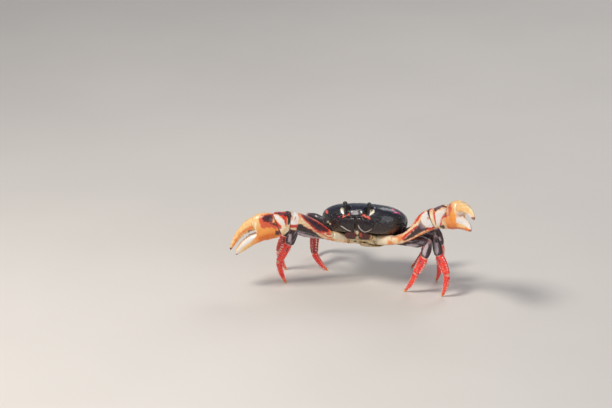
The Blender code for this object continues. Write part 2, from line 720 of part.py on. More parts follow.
def make_thorax(shop, limbs):
    """The sternum with the ten coxae that carry the limbs."""
    rings = []
    for y, half, under in STERNUM:
        centre = Vector((0.0, y, (STERNUM_TOP + under) / 2.0))
        flat = ring(centre, Vector((1, 0, 0)), Vector((0, 0, 1)), half,
                    (STERNUM_TOP - under) / 2.0, 3.4, CLAW_SIDES)
        rings.append([BODY_TILT @ point for point in flat])
    thorax = shop.part("thorax", loft(rings), shop.belly)
    for limb in limbs:
        shop.helper("coxa", loft(limb.coxa_rings()))
    apply_boolean(thorax, shop.helpers, "UNION")
    for side in (1.0, -1.0):
        shop.helper("mouth", loft(maxilliped_rings(side, CUT_CLEARANCE, 12.0)))
    for limb in limbs:
        shop.helper("limb_clear", loft(limb.segment_rings(0, CUT_CLEARANCE)))
    apply_boolean(thorax, shop.helpers, "DIFFERENCE")
    keep_largest(thorax)


def make_abdomen(shop):
    """The narrow tail plate, folded forwards under the sternum."""
    rings = []
    middles = [Vector((0.0, y, z)) for y, _, z in ABDOMEN]
    for index, (_, half, _) in enumerate(ABDOMEN):
        before = middles[max(index - 1, 0)]
        after = middles[min(index + 1, len(middles) - 1)]
        ahead = (after - before).normalized()
        out = Vector((1, 0, 0)).cross(ahead).normalized()
        flat = ring(middles[index], Vector((1, 0, 0)), out, half, ABDOMEN_DEPTH,
                    2.6, CLAW_SIDES)
        rings.append([BODY_TILT @ point for point in flat])
    shop.part("abdomen", loft(rings), shop.belly)


def make_face(shop):
    for side, word in ((1.0, "left"), (-1.0, "right")):
        shop.part(f"maxilliped_{word}", loft(maxilliped_rings(side)), shop.mouth)
        points = [BODY_TILT @ Vector((side * p[0], p[1], p[2]))
                  for p in (EYESTALK["foot"], EYESTALK["top"])]
        ahead = (points[1] - points[0]).normalized()
        radius = EYESTALK["radius"]
        shape = tapered_rod(points[0], points[1], (radius, radius * 0.8, radius), 12)
        shop.part(f"eyestalk_{word}", shape, shop.shell)
        foot = points[1] + ahead * GAP
        radii = [EYE["radius"] * share for share in EYE_PROFILE]
        shape = tapered_rod(foot, foot + ahead * EYE["length"], radii, 14)
        shop.part(f"eye_{word}", shape, shop.eye)
        points = [BODY_TILT @ Vector((side * p[0], p[1], p[2]))
                  for p in (ANTENNA["foot"], ANTENNA["tip"])]
        thick = ANTENNA["radius"]
        shape = tapered_rod(points[0], points[1], (thick * 1.6, thick, thick * 0.5), 8)
        shop.part(f"antenna_{word}", shape, shop.mouth)


def stand_on_origin(shop):
    """Moves the whole crab so that the origin is under the middle of its box."""
    bpy.context.view_layer.update()
    corners = [made.matrix_world @ vert.co for made in shop.crab.objects
               for vert in made.data.vertices]
    middle = [(min(c[axis] for c in corners) + max(c[axis] for c in corners)) / 2.0
              for axis in (0, 1)]
    shift = Matrix.Translation((-middle[0], -middle[1], 0.0))
    for made in shop.crab.objects:
        made.data.transform(shift)


def main():
    clear_scene()
    shop = Workshop()
    arms = [Arm(word) for word in ("left", "right")]
    legs = [Leg(name) for name in STANCES]
    make_carapace(shop, arms + legs)
    make_thorax(shop, arms + legs)
    make_abdomen(shop)
    make_face(shop)
    for limb in arms + legs:
        limb.build(shop)
    stand_on_origin(shop)
    bpy.data.collections.remove(shop.helpers)


main()
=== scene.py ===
import json
import math
import random

import bpy
import numpy as np
from bpy.props import FloatProperty, FloatVectorProperty, IntProperty, PointerProperty
from mathutils import Matrix, Vector

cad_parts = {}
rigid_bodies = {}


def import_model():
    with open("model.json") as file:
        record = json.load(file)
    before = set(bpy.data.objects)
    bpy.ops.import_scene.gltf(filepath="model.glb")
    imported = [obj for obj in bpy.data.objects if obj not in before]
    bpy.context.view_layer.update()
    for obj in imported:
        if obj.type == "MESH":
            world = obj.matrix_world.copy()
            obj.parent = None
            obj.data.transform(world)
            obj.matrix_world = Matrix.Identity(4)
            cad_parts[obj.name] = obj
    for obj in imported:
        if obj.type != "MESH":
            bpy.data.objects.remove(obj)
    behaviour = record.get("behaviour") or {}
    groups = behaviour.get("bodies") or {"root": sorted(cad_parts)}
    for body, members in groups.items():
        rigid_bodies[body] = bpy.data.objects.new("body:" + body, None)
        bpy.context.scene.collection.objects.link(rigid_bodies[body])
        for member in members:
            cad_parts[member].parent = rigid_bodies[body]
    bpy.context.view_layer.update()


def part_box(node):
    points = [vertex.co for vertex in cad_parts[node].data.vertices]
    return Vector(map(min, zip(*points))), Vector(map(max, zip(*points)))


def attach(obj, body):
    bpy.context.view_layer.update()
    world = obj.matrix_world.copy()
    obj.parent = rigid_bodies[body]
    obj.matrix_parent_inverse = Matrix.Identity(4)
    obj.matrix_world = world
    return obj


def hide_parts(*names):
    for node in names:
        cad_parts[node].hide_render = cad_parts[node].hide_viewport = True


bl_info = {
    "name": "Purple land crab",
    "version": (1, 0, 0),
    "blender": (4, 5, 0),
    "location": "3D View > Sidebar > Crab",
    "description": "Dresses the solids of a standing land crab with fine shell pieces",
    "category": "Object",
}

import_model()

# Driving sizes of the body in millimetres, as in the part's source
MM = 0.001
CARAPACE_WIDTH = 75.0
FRONT_LENGTH = 23.5
REAR_LENGTH = 32.5
WIDEST_Y = -5.0
BACK_HEIGHT = 13.4
FLANK_DEPTH = 17.0
SHELL_RIM_Z = -13.0
OUTLINE_POWER_FRONT = 2.35
OUTLINE_POWER_REAR = 2.05
BACK_POWER = 2.5
FLANK_POWER = 2.3
GAP = 0.3
CUT_CLEARANCE = 0.35
BODY_TILT = (
    Matrix.Translation(Vector((0.8, 0.0, 54.8)))
    @ Matrix.Rotation(math.radians(-3.0), 4, "Z")
    @ Matrix.Rotation(math.radians(-4.5), 4, "Y")
    @ Matrix.Rotation(math.radians(-28.0), 4, "X")
)
BODY_TURN = np.array(BODY_TILT.to_3x3())
BODY_PLACE = np.array(BODY_TILT.translation)
LIMB_POWER = 2.4
LIMB_SIDES = 10
CLAW_POWER = 2.6

# Walking legs: the outer ends of the coxae in the body's axes, the lengths of the four
# segments, and for each leg its sweep, rise and turn in degrees and its foot's place
COXAE = {
    2: (19.0, 0.0, -15.5),
    3: (20.0, 7.0, -15.0),
    4: (19.0, 14.0, -14.0),
    5: (16.0, 20.5, -12.5),
}
LEG_LENGTHS = {
    2: (44.0, 13.8, 18.1, 22.0),
    3: (46.5, 14.4, 18.2, 21.0),
    4: (44.0, 15.4, 18.6, 20.4),
    5: (38.5, 12.9, 16.9, 19.0),
}
STANCES = {
    "left_2": (-17.5, 8.2, 11.0, (39.9, -17.7)),
    "left_3": (-15.5, 12.6, 9.0, (74.1, -19.5)),
    "left_4": (-6.0, 21.5, 16.0, (60.2, 15.1)),
    "left_5": (38.0, 12.0, 15.0, (30.8, 39.6)),
    "right_2": (-28.5, 12.7, 17.0, (-63.4, -28.1)),
    "right_3": (-11.0, 13.5, 26.0, (-72.5, 1.9)),
    "right_4": (18.0, 14.8, 2.0, (-36.8, 10.1)),
    "right_5": (41.0, 12.5, 20.0, (-55.7, 38.9)),
}
# Half depth and half thickness at each joint, and along each segment from 0 to 1
JOINTS = {"hip": (3.7, 2.5), "knee": (3.9, 2.6), "wrist": (3.3, 2.3),
          "ankle": (2.7, 1.9), "foot": (0.55, 0.5)}
COXA_HALF = (3.2, 2.2)
JOINT_ROOM = 0.7
SECTION_ROOM = 0.8
LEG_SECTIONS = {
    "merus": ((0.0, 3.7, 2.5), (0.2, 3.3, 2.4), (0.32, 4.0, 2.7), (0.6, 4.6, 2.9),
              (0.85, 4.8, 3.0), (1.0, 4.3, 2.9)),
    "carpus": ((0.0, 3.9, 2.7), (0.5, 4.1, 2.9), (1.0, 3.6, 2.5)),
    "propodus": ((0.0, 3.3, 2.4), (0.3, 3.7, 2.6), (0.7, 3.4, 2.4), (1.0, 2.9, 2.1)),
    "dactylus": ((0.0, 2.6, 1.9), (0.35, 2.3, 1.7), (0.65, 1.8, 1.4),
                 (0.85, 1.2, 1.0), (1.0, 0.75, 0.7)),
}
BOWS = {"merus": 0.6, "carpus": 0.4, "propodus": 0.5, "dactylus": 1.3}

# Claw arms: joints in millimetres, and sections as a place, half height, half thickness
# and lift
CLAW_COXA = (14.5, -6.0, -17.0)
CLAW_COXA_HALF = (3.2, 3.0)
PALM_REACH = 20.0
ARMS = {
    "right": {
        "ischium": Vector((-24.0, -24.0, 46.5)),
        "elbow": Vector((-54.9, -45.0, 65.8)),
        "wrist": Vector((-65.0, -47.3, 61.2)),
        "grip": Vector((-104.0, -58.3, 38.2)),
        "elbow_up": Vector((1.8, 0.0, 15.8)),
        "wrist_up": Vector((-6.0, 0.0, 20.6)),
        "elbow_half": (7.4, 4.6),
        "drop": 10.0,
        "gape": 0.0,
        "roll": 0.0,
        "merus": ((0.0, 4.1, 3.9, 0.0), (0.25, 5.3, 4.5, 1.0), (0.5, 6.5, 5.1, 1.5),
                  (0.8, 7.4, 5.3, 1.0), (1.0, 7.7, 5.0, 0.2)),
    },
    "left": {
        "ischium": Vector((31.3, -21.0, 47.6)),
        "elbow": Vector((66.6, -26.5, 73.4)),
        "wrist": Vector((82.6, -28.3, 77.6)),
        "grip": Vector((111.6, -63.3, 90.1)),
        "elbow_up": Vector((-4.6, 0.0, 16.8)),
        "wrist_up": Vector((6.0, 0.0, 20.4)),
        "elbow_half": (8.8, 4.8),
        "drop": 2.0,
        "gape": 14.5,
        "roll": -12.0,
        "merus": ((0.0, 3.8, 3.8, -0.6), (0.3, 4.0, 4.2, -2.6), (0.55, 5.4, 4.8, -2.0),
                  (0.8, 8.0, 5.2, -0.2), (1.0, 8.8, 5.0, 0.0)),
    },
}
CLAW_COXA_END, ISCHIUM_END, WRIST_END = (4.2, 3.8), (3.9, 3.7), (10.2, 4.7)
ISCHIUM = ((0.0, 4.2, 3.8, 0.0), (0.5, 4.3, 4.0, 0.0), (1.0, 4.0, 3.8, 0.0))
CARPUS = ((0.0, 8.6, 5.2, 0.0), (0.5, 9.8, 5.8, 0.0), (1.0, 10.6, 5.4, 0.0))
# Sections of the claw: places along it and up from its line, half height, half thickness
PALM = ((2.8, 0.4, 11.2, 5.2), (7.0, 1.1, 12.0, 6.0), (12.5, 1.8, 12.2, 6.3),
        (17.0, 2.2, 11.6, 6.0), (19.6, 2.4, 11.0, 5.6))
FIXED_FINGER = {
    "right": ((13.0, -4.8, 4.8, 4.3), (19.8, -5.5, 4.6, 4.3), (26.0, -6.3, 4.5, 4.0),
              (32.0, -8.4, 4.0, 3.5), (37.5, -10.8, 3.1, 2.7), (41.2, -12.9, 1.9, 1.8),
              (43.4, -14.5, 0.6, 0.6)),
    "left": ((13.0, -4.8, 4.9, 4.3), (19.8, -5.2, 5.1, 4.3), (26.0, -5.5, 5.0, 4.0),
             (32.0, -6.6, 4.3, 3.5), (37.5, -8.4, 3.2, 2.7), (41.2, -10.0, 2.0, 1.8),
             (43.4, -11.3, 0.6, 0.6)),
}
MOVING_FINGER = ((19.9, 7.4, 6.0, 5.0), (24.5, 6.7, 4.9, 4.6), (29.5, 4.9, 3.9, 4.0),
                 (34.5, 2.2, 3.1, 3.3), (39.5, -1.5, 2.4, 2.6), (43.3, -5.1, 1.6, 1.8),
                 (45.6, -7.6, 0.9, 1.0), (46.5, -8.8, 0.4, 0.4))
# Where the moving finger turns, along the claw and up from its line
HINGE = (19.9, 4.0)

# Face, in the body's own axes; the lobe as a height, a half width and its front
FRONT_LOBE = ((8.2, 3.4, -24.6), (6.4, 4.8, -26.6), (3.6, 5.3, -28.3), (1.2, 5.3, -29.0),
              (-0.3, 4.9, -29.0))
FRONT_LOBE_DEPTH = 1.6
ORBIT = {"centre": (10.6, -27.6, 4.4), "radii": (4.3, 5.0, 5.2)}
EYESTALK = {"foot": (10.1, -26.0, 0.4), "top": (10.8, -27.6, 7.7), "radius": 1.6}
STALK_PROFILE = (1.15, 0.95, 0.8, 0.82, 0.95, 1.02)
EYE = {"length": 4.1, "radius": 1.95}
EYE_PROFILE = (0.8, 0.97, 1.02, 1.0, 0.88, 0.62)
ANTENNA = {"foot": (6.6, -28.6, -1.0), "tip": (9.4, -33.4, -1.2), "radius": 0.5}
ANTENNA_PROFILE = (1.9, 1.6, 1.2, 1.45, 1.1, 0.8, 0.95, 0.7, 0.6, 0.55, 0.5, 0.4, 0.3, 0.2)
# Mouth plates, jaw and belly as a height or place, a half width and where it lies
MAXILLIPED = ((-1.9, 3.4, 4.8, -27.0), (-3.6, 6.4, 7.3, -26.9), (-6.0, 7.7, 8.4, -26.5),
              (-8.6, 7.3, 8.1, -25.6), (-10.8, 6.1, 7.3, -24.4), (-12.8, 4.4, 6.4, -22.9),
              (-14.0, 4.2, 6.2, -21.4), (-15.4, 5.2, 6.5, -20.6), (-17.6, 5.0, 6.4, -19.4),
              (-19.2, 3.8, 5.6, -18.6))
MAXILLIPED_DEPTH = 1.8
MAXILLIPED_SWEEP = 8.0
JAW = ((-7.0, 1.0, -22.6), (-9.0, 2.6, -22.8), (-11.5, 3.0, -22.0), (-14.0, 2.4, -20.4),
       (-15.5, 0.8, -19.0))
BRISTLES = 170
STERNUM = ((-16.5, 8.0, -16.8), (-13.0, 12.0, -18.3), (-7.0, 14.5, -19.3),
           (2.0, 16.0, -19.6), (11.0, 16.5, -19.2), (19.0, 13.0, -17.6),
           (25.0, 8.0, -15.6))
STERNUM_TOP = SHELL_RIM_Z - GAP
STERNUM_SEAMS = (-11.5, -4.0, 4.0, 12.0, 19.5)
ABDOMEN = ((28.4, 9.0, -13.4), (26.2, 9.4, -16.6), (20.0, 8.6, -19.0),
           (11.0, 6.8, -20.5), (3.0, 4.8, -20.9), (-3.0, 3.4, -20.7), (-6.0, 1.8, -20.5))
ABDOMEN_DEPTH = 0.8
ABDOMEN_SEAMS = (0.1, 0.22, 0.36, 0.5, 0.66, 0.83)

# Spines of the lower legs: degrees round the section, and for each segment the
# number in a row, first and last place, height and root radius
SPINE_ROWS = (62.0, 118.0, 242.0, 298.0)
SIDE_ROWS = (0.0, 180.0)
SMALL_ROWS = tuple((row, 0.42) for row in SPINE_ROWS) + tuple((row, 0.6) for row in SIDE_ROWS)
# Rows and their spines' size, the first row's stagger, the most that a spine strays along
# and round the leg, its thickness, and the least and most of its own size
SPINE_PLANS = (
    (tuple((row, 1.0) for row in SPINE_ROWS), 0, 0.01, 3.0, 1.0, 0.85, 1.15),
    (SMALL_ROWS, 1, 0.02, 6.0, 0.9, 0.8, 1.2),
)
SPINES = {"propodus": (6, 0.17, 0.86, 1.35, 0.55), "dactylus": (6, 0.14, 0.78, 1.1, 0.48)}
SPINE_LEAN = 0.5
SPINE_SUNK = 0.35
# Sizes of the smallest bumps, least and most
GRANULE_SIZES = (0.13, 0.26)
LEG_BUMP_SIZES = (0.14, 0.26)
# Teeth of the fingers: number, first and last place, height and root radius
FIXED_TEETH = (13, 0.05, 0.88, 0.85, 0.8)
MOVING_TEETH = (14, 0.12, 0.88, 0.8, 0.8)

# Low teeth along a ridge
RIDGE_TEETH = 18
# Ridges along each segment: degrees round it, height and width in degrees
LEG_RIDGES = {
    "merus": ((90.0, 0.35, 12.0), (246.0, 0.25, 12.0), (294.0, 0.25, 12.0)),
    "carpus": ((66.0, 0.25, 12.0), (114.0, 0.25, 12.0)),
    "propodus": tuple((row, 0.22, 11.0) for row in SPINE_ROWS),
    "dactylus": tuple((row, 0.2, 12.0) for row in SPINE_ROWS + SIDE_ROWS),
}

# Zoomed parts of the photograph on which the marks were drawn: the pixel across and
# down at the upper left corner, and the zoom
SHEETS = {
    "right_claw": (226.0, 204.0, 18.23),
    "left_claw": (398.0, 194.0, 19.12),
    "face": (322.0, 196.0, 17.42),
    "right_arm": (284.0, 200.0, 25.29),
    "right_legs": (268.0, 226.0, 23.8),
    "left_legs": (396.0, 228.0, 22.4),
}
# Markings for each piece, sheet and paint, as the corners of outlines in the sheet's pixels
MARKS = {
    "hand_right": {"right_claw": {
        "deep": ["600,620 700,570 860,530 900,580 860,610 700,665 600,665"],
        "red": ["590,270 620,215 700,178 860,160 875,210 865,330 930,400 960,430 920,470 860,440 740,430 "
        "690,455 640,430 605,350"],
        "maroon": ["640,245 690,203 850,185 850,330 770,345 700,325 660,290",
        "780,345 880,320 990,420 1000,450 900,400 800,385",
        "880,560 900,500 960,470 1015,490 1010,545 950,585 900,590"],
        "grey": ["785,200 845,195 845,320 790,320"],
        "cream": ["512,480 520,330 546,330 548,500"],
        "white": ["548,500 545,590 470,670 380,735 300,800 250,860 215,925 175,905 205,845 250,770 "
        "300,695 380,615 460,550"],
        "brown": ["150,905 245,915 240,960 150,960"],
    }},
    "thumb_right": {"right_claw": {
        "deep": ["520,430 400,470 300,540 200,650 140,770 120,780 180,650 260,540 360,450 480,400"],
        "umber": ["400,470 470,470 470,545 400,540"],
        "brown": ["60,790 130,800 120,870 60,870"],
    }},
    "hand_left": {"left_claw": {
        "deep": ["840,440 900,430 900,600 840,600",
        "940,620 1110,640 1380,660 1380,720 940,710"],
        "red": ["960,180 1022,165 1032,270 1012,350 992,425 930,440 870,470 830,560 800,560 800,480 "
        "850,440 950,400"],
        "maroon": ["800,610 880,595 905,640 870,665 820,660"],
        "cream": ["1072,190 1102,190 1116,330 1110,400 1085,320"],
        "white": ["1112,385 1260,385 1325,440 1375,520 1412,600 1415,690 1360,650 1300,605 1200,570 "
        "1112,545"],
        "brown": ["1355,690 1440,690 1440,740 1355,740"],
    }},
    "thumb_left": {"left_claw": {
        "white": ["1112,335 1190,355 1260,365 1330,365 1390,400 1420,440 1390,460 1330,420 1240,410 "
        "1112,400"],
        "brown": ["1395,445 1460,440 1460,510 1395,510"],
    }},
    "carpus_right": {"right_claw": {
        "red": ["850,98 980,73 1090,62 1250,44 1292,112 1230,145 1110,165 1112,370 1080,390 1060,300 "
        "1000,225 940,190 860,190",
        "850,230 900,290 950,345 1010,400 1005,450 980,450 920,370 855,290"],
        "maroon": ["882,164 979,155 1118,160 1119,199 1079,237 1039,215 910,197"],
        # The lavender mark is a painted highlight
        "lavender": ["870,300 930,390 990,450 960,460 900,380"],
        "white": ["858,190 930,200 990,250 1050,310 1078,370 1060,402 1010,370 940,300 870,225"],
        # The black mark is painted shade at the elbow joint
        "black": ["1120,180 1190,160 1215,210 1180,330 1140,400 1112,380 1118,250"],
    }},
    "merus_right": {"right_arm": {
        # The ash band copies the lit pale band of the second leg behind, a painted highlight on the
        # merus's underside
        "ash": ["330,845 450,867 600,905 750,950 900,981 1000,1022 950,1067 850,1075 750,1055 620,1009 "
        "500,951 380,898"],
        # The dark zone low on the merus is painted shadow on its underside
        "under": ["370,600 450,610 560,690 700,760 830,850 900,910 960,985 1050,1040 800,980 500,930 "
        "300,760"],
        "orange": ["340,290 425,280 455,335 430,430 400,500 375,400",
        "1110,730 1210,830 1150,850 1090,810",
        "1000,985 1250,985 1230,1030 1050,1030"],
        "red": ["425,330 480,318 620,395 740,465 860,540 970,615 1070,665 1145,740 1150,815 1080,832 "
        "980,830 880,812 790,765 690,675 600,595 510,505 445,440",
        "1055,850 1120,838 1205,862 1190,890 1100,885",
        "145,630 340,630 320,700 160,700"],
        "maroon": ["465,340 520,368 610,420 700,468 800,528 880,588 960,640 1040,690 1105,755 1110,802 "
        "1050,812 960,792 880,792 800,742 720,665 640,592 560,522 500,450 452,390"],
        "white": ["205,340 260,308 335,305 352,380 372,470 352,580 290,625 205,625 150,592 170,540 "
        "222,480 232,420 190,385"],
        "spot": ["268,425 300,412 302,480 262,520"],
        # The black mark is painted shade at the elbow joint
        "black": ["180,340 215,400 190,445 150,510 130,570 105,610 90,480 100,340 150,310"],
    }},
    "carpus_left": {"left_claw": {
        "red": ["525,295 560,238 640,205 700,212 690,262 640,295 560,318",
        "665,325 705,335 715,430 735,560 715,590 690,480",
        "935,320 965,410 930,445 870,455 835,490 825,600 790,600 800,500 840,440 900,390"],
        "maroon": ["680,262 720,218 800,206 890,215 945,240 930,262 850,262 760,305 715,365 695,330",
        "800,600 885,590 912,640 880,672 795,645"],
        # The lavender marks are painted highlights
        "lavender": ["700,240 760,222 840,228 840,246 740,262",
        "860,360 940,340 930,410 860,430"],
        "white": ["708,385 760,335 850,292 925,268 945,300 905,350 860,400 830,450 810,530 790,592 "
        "750,602 730,540"],
        # The black mark is painted shade in the gap between carpus and palm
        "black": ["935,228 975,185 990,262 965,325 940,290"],
    }},
    "merus_left": {"left_claw": {
        "orange": ["0,815 100,790 160,750 120,850 60,900 0,900",
        "225,872 330,822 430,762 530,702 620,668 640,690 530,725 430,785 330,840"],
        "red": ["430,330 500,320 500,345 440,400 390,500 330,570 300,560 380,450",
        "490,690 560,640 640,635 700,600 712,650 640,685 560,690",
        "60,850 150,765 260,680 360,600 380,620 280,710 180,800 100,880"],
        "maroon": ["105,885 180,800 280,705 370,622 420,555 460,630 560,640 590,655 540,690 430,745 "
        "330,805 220,855 140,895"],
        # The lavender mark is a painted highlight
        "lavender": ["395,570 430,495 480,580 550,632 500,665 430,660"],
        "white": ["470,395 520,345 575,370 625,430 655,490 685,545 685,605 640,642 560,630 500,600 "
        "450,545 438,480"],
        "spot": ["553,440 592,438 602,480 570,492 550,470"],
        # The black mark is painted shade at the elbow joint
        "black": ["525,305 605,295 640,340 685,440 715,570 722,625 700,610 660,525 620,410 570,345"],
    }},
    "ischium_right": {"right_arm": {
        "orange": ["1040,960 1260,985 1300,1010 1250,1040 1040,1030"],
        "cream": ["1230,850 1568,850 1568,960 1400,970 1250,960"],
    }, "face": {
        "orange": ["440,740 600,770 600,830 440,800"],
        "cream": ["180,640 420,660 470,740 300,775 180,740"],
    }},
    "ischium_left": {"face": {
        "orange": ["1150,780 1380,735 1400,850 1250,855 1150,840",
        "1190,705 1300,690 1300,735 1200,745"],
        "cream": ["880,760 1150,700 1250,700 1160,770 1130,850 1000,870 900,800",
        "1180,765 1380,730 1390,750 1190,790"],
    }},
    "coxae": {"face": {
        "dark": ["545,780 600,775 605,800 550,805",
        "695,795 760,790 770,818 705,820"],
    }},
    "face": {"face": {
        "pale": ["325,235 360,210 392,228 405,262 435,295 450,345 425,350 400,310 340,285",
        "815,290 838,250 872,232 905,250 900,285 870,305 835,308 800,330 785,345 795,310"],
        "coral": ["365,330 415,300 470,295 490,330 470,358 420,375 365,400 352,375",
        "688,342 720,318 765,325 815,350 840,385 838,430 808,412 770,388 720,376",
        "58,245 88,240 108,270 98,308 68,295"],
        "bead": ["88,435 118,435 120,465 95,472",
        "125,470 155,470 155,500 128,500"],
        "pink": ["1212,222 1240,212 1285,235 1260,252 1222,252",
        "1235,292 1300,272 1360,282 1400,318 1385,345 1330,308 1280,302",
        "280,352 305,352 305,372 280,372"],
        # The brown mark low on the right is a painted red-brown sheen
        "brown": ["1100,690 1200,610 1300,560 1420,520 1400,600 1330,660 1200,700"],
    }},
    "lobe": {"face": {
        # The grey over the lobe's left half is a painted highlight on its lit side
        "grey": ["492,215 560,205 622,212 628,330 495,338"],
        # The black band along the lobe's lower edge is painted shade under the lobe
        "black": ["478,322 600,330 705,325 705,352 600,356 478,345"],
    }},
    "mouth": {"face": {
        "line": ["328,516 362,532 402,562 452,592 502,612 502,624 450,606 398,576 358,546 326,528",
        "626,508 636,506 656,556 694,596 742,624 798,612 850,582 892,554 896,564 852,594 800,624 742,638 "
        "688,606 648,564"],
        "ember": ["570,610 612,610 612,690 575,690",
        "830,630 890,630 885,725 830,720",
        "650,640 690,650 690,720 650,700"],
    }},
    "leg_right_2_merus": {"right_arm": {
        # The pale band is a painted highlight on the lit face of the merus
        "pale": ["330,830 450,848 600,880 750,925 900,955 1000,1010 950,1042 850,1050 750,1030 620,985 "
        "500,925 380,872"],
        # The black band is painted shadow below the merus
        "black": ["285,890 350,895 480,950 620,1005 720,1030 680,1062 500,1010 330,960"],
    }},
    "leg_left_2_merus": {"left_legs": {
        # The pale band is a painted highlight on the lit face of the merus
        "pale": ["230,385 330,362 450,362 505,388 440,420 330,432 240,432"],
        # The black band is painted shadow below the merus
        "black": ["180,440 300,438 450,432 520,410 530,470 400,475 250,470"],
    }},
    "leg_right_2_carpus": {"right_legs": {
        # The maroon on the carpus's left is painted shade
        "maroon": ["380,140 440,110 410,250 385,330 330,410 260,560 220,560 225,420 260,330 320,240"],
        # The pale streak is a painted highlight on the carpus
        "pale": ["500,200 552,190 562,260 545,335 520,392 478,370 490,280"],
        # The black edge of the carpus is painted shade
        "black": ["568,180 608,175 610,260 590,350 570,405 556,330"],
    }},
    "leg_left_2_carpus": {"left_legs": {
        # The pale streak is a painted highlight on the carpus
        "pale": ["625,440 690,345 722,340 702,450 675,560 645,625 598,605 600,520"],
    }},
    "leg_left_3_carpus": {"left_legs": {
        # The pale streak is a painted highlight on the carpus
        "pale": ["855,400 882,325 935,350 948,470 945,565 902,582 868,520"],
    }},
    "leg_left_4_carpus": {"left_legs": {
        # The pale streak is a painted highlight on the carpus
        "pale": ["940,215 985,205 1010,270 970,280"],
    }},
}

# The order in which paints are laid, with for each its field, its colour, the depths in
# millimetres between which it sets in, how far its edge wanders and its full strength
SHELL_PAINTS = (
    # brown: a painted red-brown sheen low on the front of the shell
    ("brown", "6e3320", -1.8, 1.4, 0.9, 0.7),
    ("coral", "f4604c", -0.5, 0.35, 0.5, 1.0),
    ("pale", "fff3d6", -0.9, 0.2, 0.4, 1.0),
    ("pink", "d02f72", -0.4, 0.3, 0.3, 0.95),
    ("bead", "ead9ae", -0.3, 0.3, 0.2, 1.0),
    # grey: a painted highlight on the lit half of the front lobe
    ("grey", "958c90", -0.6, 0.6, 0.5, 0.9),
    # black: painted shade under the front lobe's edge
    ("black", "060506", -0.3, 0.3, 0.2, 1.0),
)
ARM_PAINTS = (
    # under: painted shadow on the underside of the right merus
    ("under", "24090f", -0.6, 0.6, 0.6, 1.0),
    ("orange", "f28a3c", -0.9, 0.7, 0.7, 0.95),
    ("red", "rim_red", -0.6, 0.4, 0.5, 1.0),
    ("maroon", "maroon", -0.2, 0.6, 0.7, 0.95),
    ("maroon", "1d1220", 0.8, 2.2, 0.9, 0.8),
    # lavender: painted highlights on the carpi and the left merus
    ("lavender", "8d7280", -0.9, 0.9, 0.7, 0.8),
    # ash: a painted highlight, the second leg's lit pale band laid on the right merus
    ("ash", "b9a3aa", -0.4, 0.5, 0.5, 0.85),
    ("cream", "f8e9cb", -0.5, 1.0, 1.5, 0.8),
    ("white", "patch", -0.6, 0.5, 0.6, 1.0),
    ("spot", "e88a48", -0.4, 0.5, 0.3, 0.9),
    # black: painted shade in the gaps at the elbows and at the left wrist
    ("black", "100a0c", 0.0, 0.6, 0.4, 0.95),
)
PALM_PAINTS = (
    ("deep", "f0741a", -1.4, 0.8, 0.6, 0.9),
    ("red", "e04a2c", -0.6, 1.0, 1.0, 0.9),
    ("maroon", "5a1222", -0.5, 1.0, 1.1, 0.95),
    ("maroon", "2c0c18", 0.8, 3.0, 1.2, 0.75),
    ("grey", "4c3c38", -0.8, 0.6, 0.6, 0.7),
    ("cream", "fdf0c0", -0.8, 0.4, 0.4, 0.9),
    ("white", "patch", -0.9, 0.5, 0.6, 1.0),
    ("umber", "a4562a", -0.8, 0.6, 0.4, 0.8),
    ("brown", "8c3414", -0.6, 0.5, 0.3, 1.0),
)
LEG_PAINTS = (
    # maroon: painted shade on the left of the right second carpus
    ("maroon", "4a0a16", -0.8, 0.5, 0.6, 0.9),
    # pale: painted highlights on the lit faces of the second meri and of the carpi
    ("pale", "cfbcc2", -0.9, 0.6, 0.6, 0.9),
    # black: painted shadow below the second meri and painted shade along the right second carpus's edge
    ("black", "0d090b", -0.5, 0.4, 0.4, 0.9),
)
BELLY_PAINTS = (("dark", "2c1c14", -0.3, 0.3, 0.3, 0.9),)
MOUTH_PAINTS = (
    ("ember", "b5431c", -0.8, 0.6, 0.5, 0.8),
    ("line", "cdbbb0", -0.3, 0.15, 0.12, 0.95),
)

# The camera stands where the photograph's did, in millimetres
CAMERA_PLACE = Vector((663.2, -2346.0, 957.2))
CAMERA_TURN, CAMERA_FALL = math.radians(17.0), math.radians(20.0)
LENS = 176.4
TO_RIGHT = np.array((math.cos(CAMERA_TURN), math.sin(CAMERA_TURN), 0.0))
TO_CAMERA = np.array((math.sin(CAMERA_TURN) * math.cos(CAMERA_FALL),
                      -math.cos(CAMERA_TURN) * math.cos(CAMERA_FALL), math.sin(CAMERA_FALL)))
TO_TOP = np.cross(TO_CAMERA, TO_RIGHT)
PICTURE_WIDTH, PICTURE_HEIGHT = 612.0, 408.0
SENSOR_WIDTH = 36.0
# Millimetres to one pixel of the photograph where the crab stands, and the depth given to
# points that no mark is near
PIXEL = 0.867
FAR_OUTSIDE = -20.0

# The stage in metres and watts: for each light its place, disc size, power and colour
LIGHTS = {
    "key": ((-0.45, -0.55, 0.95), 0.35, 9.5, (1.0, 0.96, 0.9)),
    "fill": ((0.9, -0.9, 0.5), 0.9, 4.0, (0.9, 0.95, 1.0)),
    "back": ((0.2, 0.9, 0.9), 0.7, 3.2, (1.0, 1.0, 1.0)),
}
LIGHT_TARGET = Vector((0.0, 0.0, 0.05))
SKY_COLOUR = (0.86, 0.9, 1.0, 1.0)
SKY_STRENGTH = 0.3
FLOOR_HALF = 12.0
FLOOR_CORNERS = ((-1, -1), (1, -1), (1, 1), (-1, 1))

# How far the legs in the body's shade are darkened
DUSK = {"right_3": 0.6, "right_4": 0.75, "right_5": 0.45, "left_5": 0.4}


def tone(code):
    """A colour from its six figures, as a shader takes it."""
    parts = [int(code[place:place + 2], 16) / 255.0 for place in (0, 2, 4)]
    return tuple(part / 12.92 if part <= 0.04045 else ((part + 0.055) / 1.055) ** 2.4
                 for part in parts)


